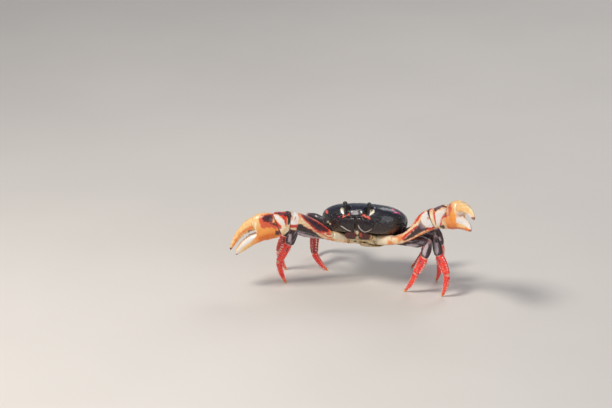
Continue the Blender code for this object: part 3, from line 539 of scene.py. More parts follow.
def rgba(colour):
    """A full colour from six figures or from its three parts."""
    return (*(tone(colour) if isinstance(colour, str) else colour), 1.0)


def unit(vector):
    return vector / np.linalg.norm(vector, axis=-1, keepdims=True)


def signed_power(value, power):
    return np.sign(value) * np.abs(value) ** power


def ring(centre, across, along, half_across, half_along, power, sides):
    """Points of one rounded-square section, in order round it."""
    angle = 2.0 * math.pi * (np.arange(sides) + 0.5) / sides
    reach_across = half_across * signed_power(np.cos(angle), 2.0 / power)
    reach_along = half_along * signed_power(np.sin(angle), 2.0 / power)
    return (np.array(centre) + np.outer(reach_across, np.array(across))
            + np.outer(reach_along, np.array(along)))


def in_body(points):
    """Points in the body's own axes, put where the body is carried."""
    return np.asarray(points, float) @ BODY_TURN.T + BODY_PLACE


def to_body(points):
    return (np.asarray(points, float) - BODY_PLACE) @ BODY_TURN


def paired(point, side):
    """A point of the body's left, put on the given side of the carried body."""
    x, y, z = point
    return in_body((side * x, y, z))


def smooth_rows(rows, count, crowd=0.35):
    """A smooth skin through section rings, with more rows near both ends."""
    rows = np.array(rows)
    middles = rows.mean(axis=1)
    steps = np.linalg.norm(np.diff(middles, axis=0), axis=1)
    reach = np.concatenate(([0.0], np.cumsum(steps)))
    slopes = np.diff(rows, axis=0) / steps[:, None, None]
    turns = np.empty_like(rows)
    before, after = steps[:-1, None, None], steps[1:, None, None]
    turns[1:-1] = (slopes[:-1] * after + slopes[1:] * before) / (before + after)
    turns[0], turns[-1] = slopes[0], slopes[-1]
    even = np.linspace(0.0, 1.0, count)
    share = even - crowd * np.sin(2.0 * math.pi * even) / (2.0 * math.pi)
    place = share * reach[-1]
    index = np.clip(np.searchsorted(reach, place, side="right") - 1, 0, len(steps) - 1)
    gap = steps[index][:, None, None]
    t = ((place - reach[index]) / steps[index])[:, None, None]
    near, far = rows[index], rows[index + 1]
    skin = ((2 * t**3 - 3 * t**2 + 1) * near + (t**3 - 2 * t**2 + t) * gap * turns[index]
            + (3 * t**2 - 2 * t**3) * far + (t**3 - t**2) * gap * turns[index + 1])
    return skin, share, reach[-1]


def skin_out(rows):
    """The outward direction at every point of a skin of rings."""
    around = np.roll(rows, -1, axis=1) - np.roll(rows, 1, axis=1)
    ahead = np.gradient(rows, axis=0)
    out = np.cross(around, ahead)
    out /= np.maximum(np.linalg.norm(out, axis=2, keepdims=True), 1e-9)
    middles = rows.mean(axis=1)[:, None]
    if np.sum(out * (rows - middles)) < 0.0:
        out = -out
    return out


def lifted(rows, lift):
    """A skin of rings swollen outwards by a height for every point."""
    return rows + skin_out(rows) * lift[..., None]


def bell(offset, width):
    """1 where the offset is 0, falling away over the given width."""
    return np.exp(-(offset / width) ** 2)


def degrees_between(first, second):
    return (first - second + 180.0) % 360.0 - 180.0


def raise_ridges(rows, share, plan, teeth=0.0):
    """Swells a skin outwards along lines that run its length, toothed if asked."""
    angle = 360.0 * (np.arange(rows.shape[1]) + 0.5) / rows.shape[1]
    ends = np.clip(np.minimum(share, 1.0 - share) / 0.08, 0.0, 1.0)[:, None]
    lift = np.zeros(rows.shape[:2])
    for degrees, height, width in plan:
        near = bell(degrees_between(angle, degrees), width)[None]
        saw = 1.0 + teeth * np.abs(np.sin(math.pi * RIDGE_TEETH * share))[:, None]
        lift += height * near * saw * ends
    return lifted(rows, lift)


def waves(points, size, seed):
    """Gentle seeded unevenness, from -1 to 1, at points in millimetres."""
    draw = np.random.default_rng(seed)
    total = np.zeros(np.shape(points)[:-1])
    for _ in range(7):
        direction = unit(draw.normal(size=3)) * 2.0 * math.pi / (size * draw.uniform(0.6, 1.5))
        total += np.sin(points @ direction + draw.uniform(0.0, 2.0 * math.pi))
    return total / 4.0


def round_ends(rows, share, length, near, far):
    """Rounds a skin in towards its two end planes by the given radii."""
    rows = rows.copy()
    middles = rows.mean(axis=1)[:, None]
    size = np.linalg.norm(rows - middles, axis=2).mean(axis=1)
    for distance, radius in ((share * length, near), ((1.0 - share) * length, far)):
        if radius <= 0.0:
            continue
        short = np.clip(radius - distance, 0.0, radius)
        inset = radius - np.sqrt(np.maximum(radius ** 2 - short ** 2, 0.0))
        scale = np.clip(1.0 - inset / size, 0.05, 1.0)[:, None, None]
        rows = middles + (rows - middles) * scale
    return rows


def depth_inside(flat, outline):
    """How deep points lie inside an outline, in millimetres, less than 0 outside it."""
    corners = np.array(outline, float)
    nearest = np.full(len(flat), 1e9)
    inside = np.zeros(len(flat), bool)
    for start, end in zip(corners, np.roll(corners, -1, axis=0)):
        edge = end - start
        share = np.clip(((flat - start) @ edge) / (edge @ edge), 0.0, 1.0)
        nearest = np.minimum(nearest, np.linalg.norm(flat - start - share[:, None] * edge,
                                                     axis=1))
        spans = (start[1] > flat[:, 1]) != (end[1] > flat[:, 1])
        rise = end[1] - start[1] if abs(end[1] - start[1]) > 1e-9 else 1e-9
        inside ^= spans & (flat[:, 0] < (flat[:, 1] - start[1]) / rise * edge[0] + start[0])
    return np.where(inside, nearest, -nearest)


def placed(name, data):
    """A new object with the given data, in the scene."""
    made = bpy.data.objects.new(name, data)
    bpy.context.scene.collection.objects.link(made)
    return made


def tube_faces(count, sides):
    """Four-cornered faces between stacked rings, and three-cornered ones that close them.

    The two points after the rings are the middles of the first ring and of the last.
    """
    row, side = np.meshgrid(np.arange(count - 1), np.arange(sides), indexing="ij")
    after = (side + 1) % sides
    quads = np.stack([row * sides + side, row * sides + after,
                      (row + 1) * sides + after, (row + 1) * sides + side], axis=-1)
    first, last = count * sides, count * sides + 1
    base = (count - 1) * sides
    ends = []
    for k in range(sides):
        following = (k + 1) % sides
        ends.append([first, following, k])
        ends.append([last, base + k, base + following])
    return quads.reshape(-1, 4), ends


def fine_skin(rings_list, count, near, far, crowd=0.35, relief=None):
    """A smooth skin through rings, with its relief, rounded at its two ends."""
    rows, share, length = smooth_rows(rings_list, count, crowd)
    if relief:
        rows = lifted(rows, relief(rows))
    return round_ends(rows, share, length, near, far)


class Skin:
    """Gathers closed surfaces in millimetres and makes them one piece."""

    def __init__(self):
        self.points, self.faces, self.fields, self.total = [], [], {}, 0

    def add(self, points, faces, **fields):
        points = np.asarray(points, float)
        self.points.append(points)
        self.faces += [[corner + self.total for corner in face] for face in faces]
        for name, values in fields.items():
            self.fields.setdefault(name, []).append((self.total, np.asarray(values, float)))
        self.total += len(points)
        return self

    def add_rows(self, rows, paint=None):
        """A closed surface through rings, with a middle point at both ends."""
        points = np.concatenate([rows.reshape(-1, 3), rows.mean(axis=1)[[0, -1]]])
        quads, ends = tube_faces(*rows.shape[:2])
        a, b, c, d = (points[quads[:, k]] for k in range(4))
        swept = np.sum(np.cross(c - a, d - b) * (a + c - points.mean(axis=0) * 2.0))
        faces = quads.tolist() + ends
        if swept < 0.0:
            faces = [face[::-1] for face in faces]
        fields = paint(points) if paint else {}
        return self.add(points, faces, **fields)

    def piece(self, name, finish, nodes, slot):
        """The gathered surfaces as one smooth piece that rides on the crab."""
        mesh = bpy.data.meshes.new(name)
        points = (np.concatenate(self.points) + STAND) * MM
        mesh.from_pydata(points, [], self.faces)
        for field, parts in self.fields.items():
            values = np.zeros(self.total, np.float32)
            for start, part in parts:
                values[start:start + len(part)] = part
            mesh.attributes.new(field, "FLOAT", "POINT").data.foreach_set("value", values)
        mesh.shade_smooth()
        mesh.materials.append(finish)
        made = placed(name, mesh)
        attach(made, "root")
        if nodes:
            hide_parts(*nodes)
        return made


def bounded_half(half, distance, bend):
    """Half depth on the inner side of a bent joint, kept on its own side of it."""
    if bend < 1e-4:
        return half
    return min(half, max(0.6, (distance - GAP) / math.tan(bend / 2.0) * 0.95))


class Limb:
    """A limb of segments between joints, cut square to its normal at every joint."""

    def span(self, index):
        """Start, direction and length of a segment."""
        start, end = self.points[index], self.points[index + 1]
        return start, (end - start).normalized(), (end - start).length

    def joint_ring(self, index, shift, sides, grow=0.0):
        """The section at a joint, moved along the joint's normal."""
        height, thick = self.halves[index]
        across, up = self.joint_axes(index)
        centre = self.points[index] + self.normals[index] * shift
        return ring(centre, across, up, thick + grow, height + grow, self.power, sides)

    def coxa_rings(self, sides, grow=0.0):
        """The sections of the coxa, inside the body and at the first joint."""
        height, thick = self.coxa_half
        up = self.joint_axes(0)[1]
        root = ring(self.coxa_root, self.root_across, up, thick + grow, height + grow,
                    self.power, sides)
        return [root, self.joint_ring(0, -GAP / 2.0, sides, grow)]

    @staticmethod
    def joint_normal(points, index):
        """The direction half way between those of the segments that meet at a joint."""
        before = (points[index] - points[index - 1]).normalized()
        after = (points[index + 1] - points[index]).normalized()
        return (before + after).normalized()


class Leg(Limb):
    """One walking leg: five joints in one plane, from the coxa to the floor."""

    segments = ("merus", "carpus", "propodus", "dactylus")
    halves = tuple(JOINTS.values())
    coxa_half = COXA_HALF
    power = LIMB_POWER

    def __init__(self, name):
        side_word, number = name.split("_")
        side = 1.0 if side_word == "left" else -1.0
        row = int(number)
        self.seed = row * 10 + (1 if side > 0.0 else 2)
        sweep, rise, turn, foot = STANCES[name]
        lengths = LEG_LENGTHS[row]
        x, y, z = COXAE[row]
        hip = BODY_TILT @ Vector((side * x, y, z))
        floor_point = Vector((*foot, 0.0))
        sweep, rise, turn = (math.radians(angle) for angle in (sweep, rise, turn))
        outward = Vector((side * math.cos(sweep), math.sin(sweep), 0.0))
        climb = outward * math.cos(rise) + Vector((0.0, 0.0, math.sin(rise)))
        knee = hip + climb * lengths[0]
        chord = (floor_point - knee).normalized()
        bulge = (outward - chord * outward.dot(chord)).normalized()
        wrist = knee + (chord * math.cos(turn) + bulge * math.sin(turn)) * lengths[1]
        ankle = self.two_links(wrist, floor_point, bulge, lengths[2], lengths[3])
        self.points = [hip, knee, wrist, ankle, floor_point]
        self.across = self.root_across = climb.cross(chord).normalized()
        self.coxa_root = BODY_TILT @ Vector((side * x * 0.45, y, z - 1.0))
        self.normals = [(knee - self.coxa_root).normalized()]
        self.normals += [self.joint_normal(self.points, index) for index in (1, 2, 3)]
        self.normals.append(Vector((0.0, 0.0, -1.0)))

    @staticmethod
    def two_links(start, end, bulge, first, second):
        """The joint between two lengths that reach from start to end."""
        line = end - start
        span = min(line.length, (first + second) * 0.999)
        ahead = line.normalized()
        out = (bulge - ahead * bulge.dot(ahead)).normalized()
        along = (first ** 2 - second ** 2 + span ** 2) / (2.0 * span)
        height = math.sqrt(max(first ** 2 - along ** 2, 0.0))
        return start + ahead * along + out * height

    def joint_axes(self, index):
        up = self.across.cross(self.normals[index]).normalized()
        return self.normals[index].cross(up), up

    def bend(self, index):
        """How far the leg turns at a joint, signed by which way it turns."""
        if index in (0, 4):
            return 0.0
        before = self.points[index] - self.points[index - 1]
        after = self.points[index + 1] - self.points[index]
        size = before.angle(after)
        return math.copysign(size, before.cross(after).dot(self.across))

    def segment_rings(self, index, sides, grow=0.0):
        """The rings of one segment, from one joint's plane to the next."""
        start, ahead, length = self.span(index)
        up = self.across.cross(ahead).normalized()
        bends = (self.bend(index), self.bend(index + 1))
        word = self.segments[index]
        room = [half[0] * math.sin(abs(bend) / 2.0) + JOINT_ROOM
                for half, bend in zip(self.halves[index:], bends)]
        if index == 3:
            tilt = self.normals[4].angle(ahead)
            last_depth = LEG_SECTIONS[word][-1][1]
            room[1] = (last_depth * math.sin(tilt) + SECTION_ROOM) / math.cos(tilt)
        rings = [self.joint_ring(index, GAP / 2.0, sides, grow)]
        for share, depth, thick in LEG_SECTIONS[word]:
            place = room[0] + (length - room[0] - room[1]) * share
            upper, lower = depth, depth
            for distance, bend in ((place, bends[0]), (length - place, bends[1])):
                upper = bounded_half(upper, distance, bend)
                lower = bounded_half(lower, distance, -bend)
            bow = -math.copysign(BOWS[word], bends[0] + bends[1])
            bow *= math.sin(math.pi * place / length)
            centre = start + ahead * place + up * ((upper - lower) / 2.0 + bow)
            rings.append(ring(centre, self.across, up, thick + grow,
                              (upper + lower) / 2.0 + grow, LIMB_POWER, sides))
        shift = 0.0 if index == 3 else -GAP / 2.0
        rings.append(self.joint_ring(index + 1, shift, sides, grow))
        return rings

    def axes(self, index):
        """Start, direction, up and across of a segment, for painting it."""
        start, ahead, _ = self.span(index)
        return start, ahead, self.across.cross(ahead).normalized(), self.across


class Arm(Limb):
    """One cheliped: ischium, merus, carpus, palm with fixed finger, moving finger."""

    coxa_half = CLAW_COXA_HALF
    power = CLAW_POWER

    def __init__(self, side_word):
        side = 1.0 if side_word == "left" else -1.0
        self.front = 0.0 if side > 0.0 else 180.0
        self.plan = ARMS[side_word]
        x, y, z = CLAW_COXA
        coxa = BODY_TILT @ Vector((side * x, y, z))
        self.coxa_root = BODY_TILT @ Vector((side * x * 0.35, y + 1.0, z))
        grip = self.plan["grip"] - self.plan["wrist"]
        self.points = [coxa] + [self.plan[key] for key in ("ischium", "elbow", "wrist")]
        up = Vector((0.0, 0.0, 1.0))
        face = grip.cross(up).normalized()
        drop = Matrix.Rotation(math.radians(self.plan["drop"]), 3, face)
        self.palm_x = (drop @ grip).normalized()
        roll = Matrix.Rotation(math.radians(self.plan["roll"]), 3, self.palm_x)
        self.palm_z = (roll @ face).normalized()
        self.palm_y = self.palm_z.cross(self.palm_x).normalized()
        self.ups = [up, up, self.plan["elbow_up"], self.plan["wrist_up"]]
        self.normals = [(self.points[1] - self.coxa_root).normalized()]
        ahead = self.points + [self.points[3] + self.palm_x * PALM_REACH]
        self.normals += [self.joint_normal(ahead, index) for index in (1, 2, 3)]
        self.halves = (CLAW_COXA_END, ISCHIUM_END, self.plan["elbow_half"], WRIST_END)
        self.root_across = self.joint_axes(0)[0]

    def joint_axes(self, index):
        across = self.normals[index].cross(self.ups[index]).normalized()
        return across, across.cross(self.normals[index]).normalized()

    def segment_rings(self, index, sides, grow=0.0):
        sections = (ISCHIUM, self.plan["merus"], CARPUS)[index]
        start, ahead, length = self.span(index)
        rings = [self.joint_ring(index, GAP / 2.0, sides, grow)]
        room = []
        for joint in (index, index + 1):
            tilt = self.normals[joint].angle(ahead)
            room.append(self.halves[joint][0] * math.sin(tilt) + SECTION_ROOM)
        for share, height, thick, lift in sections:
            place = room[0] + (length - room[0] - room[1]) * share
            hint = self.ups[index].normalized().lerp(self.ups[index + 1].normalized(),
                                                     place / length)
            across = ahead.cross(hint).normalized()
            up = across.cross(ahead).normalized()
            centre = start + ahead * place + up * lift
            rings.append(ring(centre, across, up, thick + grow, height + grow,
                              CLAW_POWER, sides))
        rings.append(self.joint_ring(index + 1, -GAP / 2.0, sides, grow))
        return rings

    def claw_ring(self, x, y, half_height, half_thick, slope, gape, sides):
        """A section of the claw; slope keeps it square to a finger, gape opens it."""
        turn = math.radians(gape)
        from_x, from_y = x - HINGE[0], y - HINGE[1]
        x = HINGE[0] + from_x * math.cos(turn) - from_y * math.sin(turn)
        y = HINGE[1] + from_x * math.sin(turn) + from_y * math.cos(turn)
        centre = self.points[3] + self.palm_x * x + self.palm_y * y
        tip = slope + turn
        up = self.palm_y * math.cos(tip) - self.palm_x * math.sin(tip)
        return ring(centre, self.palm_z, up, half_thick, half_height, CLAW_POWER, sides)

    def finger_rings(self, stations, gape, sides):
        """Rings square to the finger's own curve; the first stays along the palm."""
        rings = []
        for index, (x, y, height, thick) in enumerate(stations):
            slope = 0.0
            if index:
                before = stations[index - 1]
                after = stations[min(index + 1, len(stations) - 1)]
                slope = math.atan2(after[1] - before[1], after[0] - before[0])
            rings.append(self.claw_ring(x, y, height, thick, slope,
                                        gape if index else 0.0, sides))
        return rings

    def axes(self, index):
        start, ahead, _ = self.span(index)
        hint = self.ups[index].normalized() + self.ups[index + 1].normalized()
        across = ahead.cross(hint).normalized()
        return start, ahead, across.cross(ahead).normalized(), across


LEGS = {name: Leg(name) for name in STANCES}
SIDES = {word: Arm(word) for word in ("left", "right")}
ARMS_BY_NODE = {f"claw_{word}": arm for word, arm in SIDES.items()}
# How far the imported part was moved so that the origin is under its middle
STAND = (np.array(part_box("leg_left_3_merus")[0]) / MM
         - np.concatenate(LEGS["left_3"].segment_rings(0, LIMB_SIDES)).min(axis=0))


def local(points, axes):
    """Points in a segment's own axes: along it, up from its line and across it."""
    start, ahead, up, across = (np.array(part) for part in axes)
    return (points - start) @ np.stack([ahead, up, across], axis=1)


class Finish:
    """A shell finish made of shader nodes."""

    def __init__(self, name, roughness, coat=0.0, specular=0.5, subsurface=0.0):
        self.material = bpy.data.materials.new(name)
        self.material.use_nodes = True
        self.tree = self.material.node_tree
        self.shader = self.tree.nodes["Principled BSDF"]
        for socket, value in (("Roughness", roughness), ("Coat Weight", coat),
                              ("Coat Roughness", 0.12), ("Specular IOR Level", specular),
                              ("Subsurface Weight", subsurface), ("Subsurface Scale", 1.0),
                              ("Subsurface Radius", (0.002, 0.001, 0.0006))):
            self.shader.inputs[socket].default_value = value
        self.place = self.tree.nodes.new("ShaderNodeTexCoord").outputs["Object"]
        self.drift, self.cloud = None, None

    def node(self, kind, inputs, **settings):
        made = self.tree.nodes.new(kind)
        for name, value in settings.items():
            setattr(made, name, value)
        for socket, value in inputs:
            if isinstance(value, bpy.types.NodeSocket):
                self.tree.links.new(value, made.inputs[socket])
            elif isinstance(value, (str, tuple)):
                made.inputs[socket].default_value = rgba(value)
            else:
                made.inputs[socket].default_value = value
        return made

    def noise(self, size, detail=3.0):
        """Cloudy noise whose patches are about size millimetres across."""
        inputs = [("Vector", self.place), ("Scale", 1.0 / (size * MM)), ("Detail", detail)]
        return self.node("ShaderNodeTexNoise", inputs).outputs["Fac"]

    def streaks(self, size):
        """Cloudy noise drawn out along a limb."""
        parts = [(axis, self.field(name)) for axis, name in zip("XYZ", ("along", "up", "across"))]
        place = self.node("ShaderNodeCombineXYZ", parts).outputs["Vector"]
        inputs = [("Vector", place), ("Scale", 1.0 / size), ("Detail", 4.0)]
        return self.node("ShaderNodeTexNoise", inputs).outputs["Fac"]

    def cells(self, size):
        """Distance from the middles of cells about size millimetres across."""
        inputs = [("Vector", self.place), ("Scale", 1.0 / (size * MM))]
        return self.node("ShaderNodeTexVoronoi", inputs).outputs["Distance"]

    def field(self, name):
        return self.node("ShaderNodeAttribute", [], attribute_name=name).outputs["Fac"]

    def sums(self, operation, first, second):
        return self.node("ShaderNodeMath", [(0, first), (1, second)],
                         operation=operation).outputs[0]

    def span(self, value, low, high, out_low=0.0, out_high=1.0):
        """Value from low to high, eased to run from out_low to out_high."""
        inputs = [("Value", value), ("From Min", low), ("From Max", high),
                  ("To Min", out_low), ("To Max", out_high)]
        return self.node("ShaderNodeMapRange", inputs,
                         interpolation_type="SMOOTHSTEP").outputs["Result"]

    def wander(self, name, reach):
        """A painted field whose edge wanders by about reach millimetres."""
        if self.drift is None:
            broad, fine = (self.sums("SUBTRACT", self.noise(size, 4.0), 0.5)
                           for size in (2.6, 0.8))
            self.drift = self.sums("ADD", self.sums("MULTIPLY", broad, 2.2), fine)
        uneven = self.sums("MULTIPLY", self.drift, reach * 1.6)
        return self.sums("ADD", self.field(name), uneven)

    def mottled(self, colour, amount, dark=0.6):
        """A colour with darker clouds in it."""
        if self.cloud is None:
            self.cloud = self.noise(1.0, 5.0)
        shade = tuple(part * dark for part in colour)
        return self.over(colour, shade, self.cloud, 0.38, 0.72, amount)

    def paint(self, colour, plan, colours):
        """Lays the marks of a paint plan over a colour, one after another."""
        for field, code, low, high, reach, most in plan:
            mark = self.mottled(pick(colours, code), 0.35)
            colour = self.over(colour, mark, self.wander(field, reach), low, high, most)
        return colour

    def ramp(self, value, *stops):
        """Colours along a value, each stop a place and a colour."""
        made = self.node("ShaderNodeValToRGB", [("Fac", value)])
        band = made.color_ramp
        while len(band.elements) < len(stops):
            band.elements.new(0.5)
        for element, (place, colour) in zip(band.elements, stops):
            element.position = place
            element.color = rgba(colour)
        return made.outputs["Color"]

    def blend(self, share, under, over):
        inputs = [(0, share), (6, under), (7, over)]
        return self.node("ShaderNodeMix", inputs, data_type="RGBA").outputs[2]

    def over(self, under, colour, value, low, high, most=1.0):
        """A colour laid over another as a value runs from low to high."""
        return self.blend(self.span(value, low, high, 0.0, most), under, colour)

    def close(self, colour, dull, reliefs=()):
        """Connects colour, roughness (size, least and most) and reliefs (height, depth)."""
        self.tree.links.new(colour, self.shader.inputs["Base Color"])
        size, least, most = dull
        self.tree.links.new(self.span(self.noise(size, 5.0), 0.3, 0.7, least, most),
                            self.shader.inputs["Roughness"])
        normal = None
        for height, depth in reliefs:
            inputs = [("Height", height), ("Distance", depth * MM), ("Strength", 1.0)]
            if normal is not None:
                inputs.append(("Normal", normal))
            normal = self.node("ShaderNodeBump", inputs).outputs["Normal"]
        if normal is not None:
            self.tree.links.new(normal, self.shader.inputs["Normal"])
        return self.material


def pick(colours, code):
    """A colour of the panel by its name, or else one by its six figures."""
    return tuple(getattr(colours, code)) if hasattr(colours, code) else tone(code)


def shell_finish(name, colours):
    """The glossy dark carapace, bluer on its back as a painted sky reflection, brown low on its flanks.
    """
    finish = Finish(name, 0.22, coat=0.6)
    height = finish.span(finish.wander("height", 1.8), -14.0, 13.0)
    # Up the shell the colour runs to navy, a painted bluish sky reflection on the back
    colour = finish.ramp(height, (0.0, "2c1713"), (0.22, "1f1315"), (0.5, colours.shell),
                         (0.88, colours.shell_back_sky_reflection))
    colour = finish.over(colour, "321a22", finish.noise(6.0, 5.0), 0.5, 0.8, 0.3)
    low = finish.span(finish.field("height"), 9.0, 0.0)
    grain = finish.sums("MULTIPLY", finish.span(finish.cells(0.55), 0.0, 0.5, 1.0, 0.0), low)
    colour = finish.over(colour, "4a3c42", grain, 0.5, 1.0, 0.35)
    colour = finish.paint(colour, SHELL_PAINTS, colours)
    return finish.close(colour, (3.0, 0.2, 0.38), ((grain, 0.1), (finish.noise(1.2, 6.0), 0.05)))


def lobe_finish(name, colours):
    finish = Finish(name, 0.45, coat=0.15)
    colour = finish.ramp(finish.noise(1.6, 5.0), (0.3, "141116"), (0.7, "2b2629"))
    colour = finish.paint(colour, SHELL_PAINTS, colours)
    return finish.close(colour, (1.0, 0.36, 0.6), ((finish.noise(0.7, 5.0), 0.08),))


def eye_finish(name):
    """Polished black facets."""
    finish = Finish(name, 0.06, coat=1.0)
    colour = finish.blend(finish.noise(1.5), "050305", "170c12")
    return finish.close(colour, (0.8, 0.05, 0.12), ((finish.cells(0.12), 0.006),))


def stalk_finish(name):
    finish = Finish(name, 0.35, coat=0.3)
    colour = finish.ramp(finish.noise(0.8, 5.0), (0.35, "0e090c"), (0.7, "2d2026"))
    return finish.close(colour, (1.0, 0.3, 0.5), ((finish.noise(0.5, 5.0), 0.05),))


def belly_finish(name, colours):
    """Cream to olive sternum and tail plates, with small dark marks."""
    finish = Finish(name, 0.42, coat=0.2, subsurface=0.08)
    colour = finish.ramp(finish.noise(4.0, 5.0), (0.32, colours.belly), (0.55, "d6bd88"),
                         (0.78, "a18a58"))
    colour = finish.over(colour, "e09550", finish.noise(7.0), 0.5, 0.72, 0.5)
    colour = finish.over(colour, "4a3226", finish.noise(2.6, 4.0), 0.62, 0.7, 0.8)
    colour = finish.over(colour, "3b2a20", finish.field("groove"), 0.15, 0.9)
    colour = finish.paint(colour, BELLY_PAINTS, colours)
    return finish.close(colour, (2.0, 0.34, 0.52),
                        ((finish.cells(0.6), 0.06), (finish.noise(1.5, 6.0), 0.08)))


def mouth_finish(name, colours):
    """Dark mouth plates with a thin pale arc, and red-brown roots."""
    finish = Finish(name, 0.32, coat=0.35)
    colour = finish.ramp(finish.noise(2.5, 5.0), (0.3, "100a0d"), (0.55, "1f1116"),
                         (0.75, "371a22"))
    root = finish.ramp(finish.noise(1.8, 5.0), (0.3, "240c0a"), (0.55, "4a1711"), (0.75, "7a2a18"))
    colour = finish.over(colour, root, finish.wander("height", 0.5), -13.2, -14.4)
    colour = finish.paint(colour, MOUTH_PAINTS, colours)
    return finish.close(colour, (1.5, 0.25, 0.42),
                        ((finish.cells(0.5), 0.05), (finish.noise(1.0, 6.0), 0.06)))


def arm_finish(name, colours):
    """Arms: cream to orange shell under dark, white and red marks, among them painted shade and painted
    highlights.
    """
    finish = Finish(name, 0.3, coat=0.45, subsurface=0.05)
    colour = finish.ramp(finish.noise(3.2, 5.0), (0.28, "f9efd4"), (0.5, "f5d3a2"),
                         (0.72, "ee9c5c"))
    ridge = finish.wander("ridge", 0.25)
    colour = finish.over(colour, tuple(colours.rim_red), ridge, 0.55, 1.0, 0.75)
    colour = finish.paint(colour, ARM_PAINTS, colours)
    colour = finish.over(colour, "33131a", finish.field("seam"), 0.4, 1.0)
    return finish.close(colour, (2.5, 0.24, 0.42),
                        ((finish.cells(0.8), 0.05), (finish.noise(0.9, 6.0), 0.05)))


def palm_finish(name, colours):
    """Claws: orange above, deeper below, with peach fingers under the marks."""
    finish = Finish(name, 0.27, coat=0.5, subsurface=0.06)
    height = finish.span(finish.wander("height", 1.8), -11.0, 12.0)
    colour = finish.ramp(height, (0.0, "f2862f"), (0.3, "f7983c"), (0.62, colours.claw),
                         (1.0, "fbc887"))
    finger = finish.ramp(finish.noise(3.0, 5.0), (0.3, "ffdfa6"), (0.5, colours.claw_finger),
                         (0.7, "fcbb68"))
    colour = finish.over(colour, finger, finish.wander("reach", 2.0), 18.0, 31.0)
    colour = finish.paint(colour, PALM_PAINTS, colours)
    colour = finish.over(colour, "d84a28", finish.wander("wrist_edge", 0.25), 0.5, 1.0, 0.8)
    return finish.close(colour, (2.5, 0.22, 0.4),
                        ((finish.cells(1.1), 0.05), (finish.noise(0.8, 6.0), 0.04)))


def tooth_finish(name):
    finish = Finish(name, 0.3, coat=0.4, subsurface=0.08)
    colour = finish.mottled(tone("f8e3c0"), 0.5, 0.7)
    colour = finish.over(colour, "c9763a", finish.field("rise"), 0.4, 1.0, 0.8)
    return finish.close(colour, (1.0, 0.25, 0.4), ((finish.noise(0.6, 5.0), 0.03),))


def thigh_finish(name, colours):
    """Upper legs: dark grey-mauve streaked with lavender, a painted highlight down the middle of their
    flanks and painted shade along their upper and lower edges.
    """
    finish = Finish(name, 0.34, coat=0.35)
    streak = finish.streaks(1.5)
    colour = finish.ramp(streak, (0.3, colours.leg_dark), (0.48, "35222a"), (0.64, "5d4852"),
                         (0.82, "94818b"))
    # A painted highlight: paler down the middle of each flank
    pale = finish.sums("MULTIPLY", finish.field("flank"), finish.span(streak, 0.36, 0.6))
    colour = finish.over(colour, "b3a0a9", pale, 0.2, 1.0, 0.7)
    # Painted shade: darker towards the upper and lower edges
    colour = finish.over(colour, "360c16", finish.wander("crest", 0.15), 0.55, 0.95, 0.85)
    colour = finish.blend(finish.field("dusk"), colour, "1d0a0f")
    colour = finish.paint(colour, LEG_PAINTS, colours)
    ends = finish.wander("ends", 0.8)
    colour = finish.over(colour, tuple(colours.joint), ends, 0.6, -2.2, 0.75)
    grain = finish.span(finish.cells(0.6), 0.0, 0.45, 1.0, 0.0)
    return finish.close(colour, (2.0, 0.26, 0.46), ((grain, 0.05), (finish.noise(0.9, 6.0), 0.05)))


def shin_finish(name, colours):
    """Lower legs: vivid red with lighter streaks, painted shade high on the propodus, orange-yellow
    towards the foot.
    """
    finish = Finish(name, 0.3, coat=0.45, subsurface=0.04)
    colour = finish.ramp(finish.streaks(1.1), (0.3, "c9142a"), (0.45, colours.leg_red),
                         (0.62, "ff5038"), (0.8, "ff9078"))
    # Painted shade: dark maroon high on the middle of the propodus
    colour = finish.over(colour, "741239", finish.wander("propodus_shade", 0.2), 0.35, 1.0, 0.8)
    colour = finish.blend(finish.field("dusk"), colour, finish.mottled(tone("640812"), 0.5))
    foot = finish.wander("foot", 0.05)
    colour = finish.over(colour, "f56a22", foot, 0.66, 0.95)
    colour = finish.over(colour, "f7c46c", foot, 0.88, 1.0)
    colour = finish.over(colour, "f3c3a6", finish.wander("ends", 0.4), 1.0, 0.3, 0.75)
    grain = finish.span(finish.cells(0.7), 0.0, 0.45, 1.0, 0.0)
    return finish.close(colour, (2.0, 0.24, 0.42), ((grain, 0.08), (finish.noise(0.8, 6.0), 0.04)))


def spine_finish(name, colours):
    """Pale spines on red roots."""
    finish = Finish(name, 0.35, coat=0.3, subsurface=0.1)
    colour = finish.ramp(finish.wander("rise", 0.06), (0.02, "f0604a"), (0.2, colours.spine),
                         (0.8, colours.spine), (1.0, "e3bd93"))
    return finish.close(colour, (1.0, 0.3, 0.45), ((finish.noise(0.5, 4.0), 0.03),))


def joint_finish(name, *stops):
    """Soft wrinkled skin between the segments."""
    finish = Finish(name, 0.5, subsurface=0.15)
    colour = finish.ramp(finish.noise(1.5, 5.0), *stops)
    return finish.close(colour, (1.0, 0.4, 0.6), ((finish.noise(0.5, 6.0), 0.1),))


def bristle_finish(name):
    finish = Finish(name, 0.5)
    colour = finish.blend(finish.noise(2.0), "5a3a1c", "b08a4c")
    return finish.close(colour, (2.0, 0.4, 0.6))


def floor_finish(name, stage):
    finish = Finish(name, 0.75, specular=0.2)
    base = tuple(stage.floor)
    shade = tuple(part * 0.96 for part in base)
    colour = finish.over(base, shade, finish.noise(220.0, 3.0), 0.3, 0.7)
    return finish.close(colour, (60.0, 0.7, 0.8), ((finish.noise(8.0, 4.0), 0.05),))


def in_picture(points):
    """Where points in millimetres fall in the photograph, in its pixels."""
    away = np.asarray(points, float) - np.array(CAMERA_PLACE)
    scale = LENS / SENSOR_WIDTH * PICTURE_WIDTH / -(away @ TO_CAMERA)
    across = PICTURE_WIDTH / 2.0 + scale * (away @ TO_RIGHT)
    down = PICTURE_HEIGHT / 2.0 - scale * (away @ TO_TOP)
    return np.stack([across, down], axis=1)


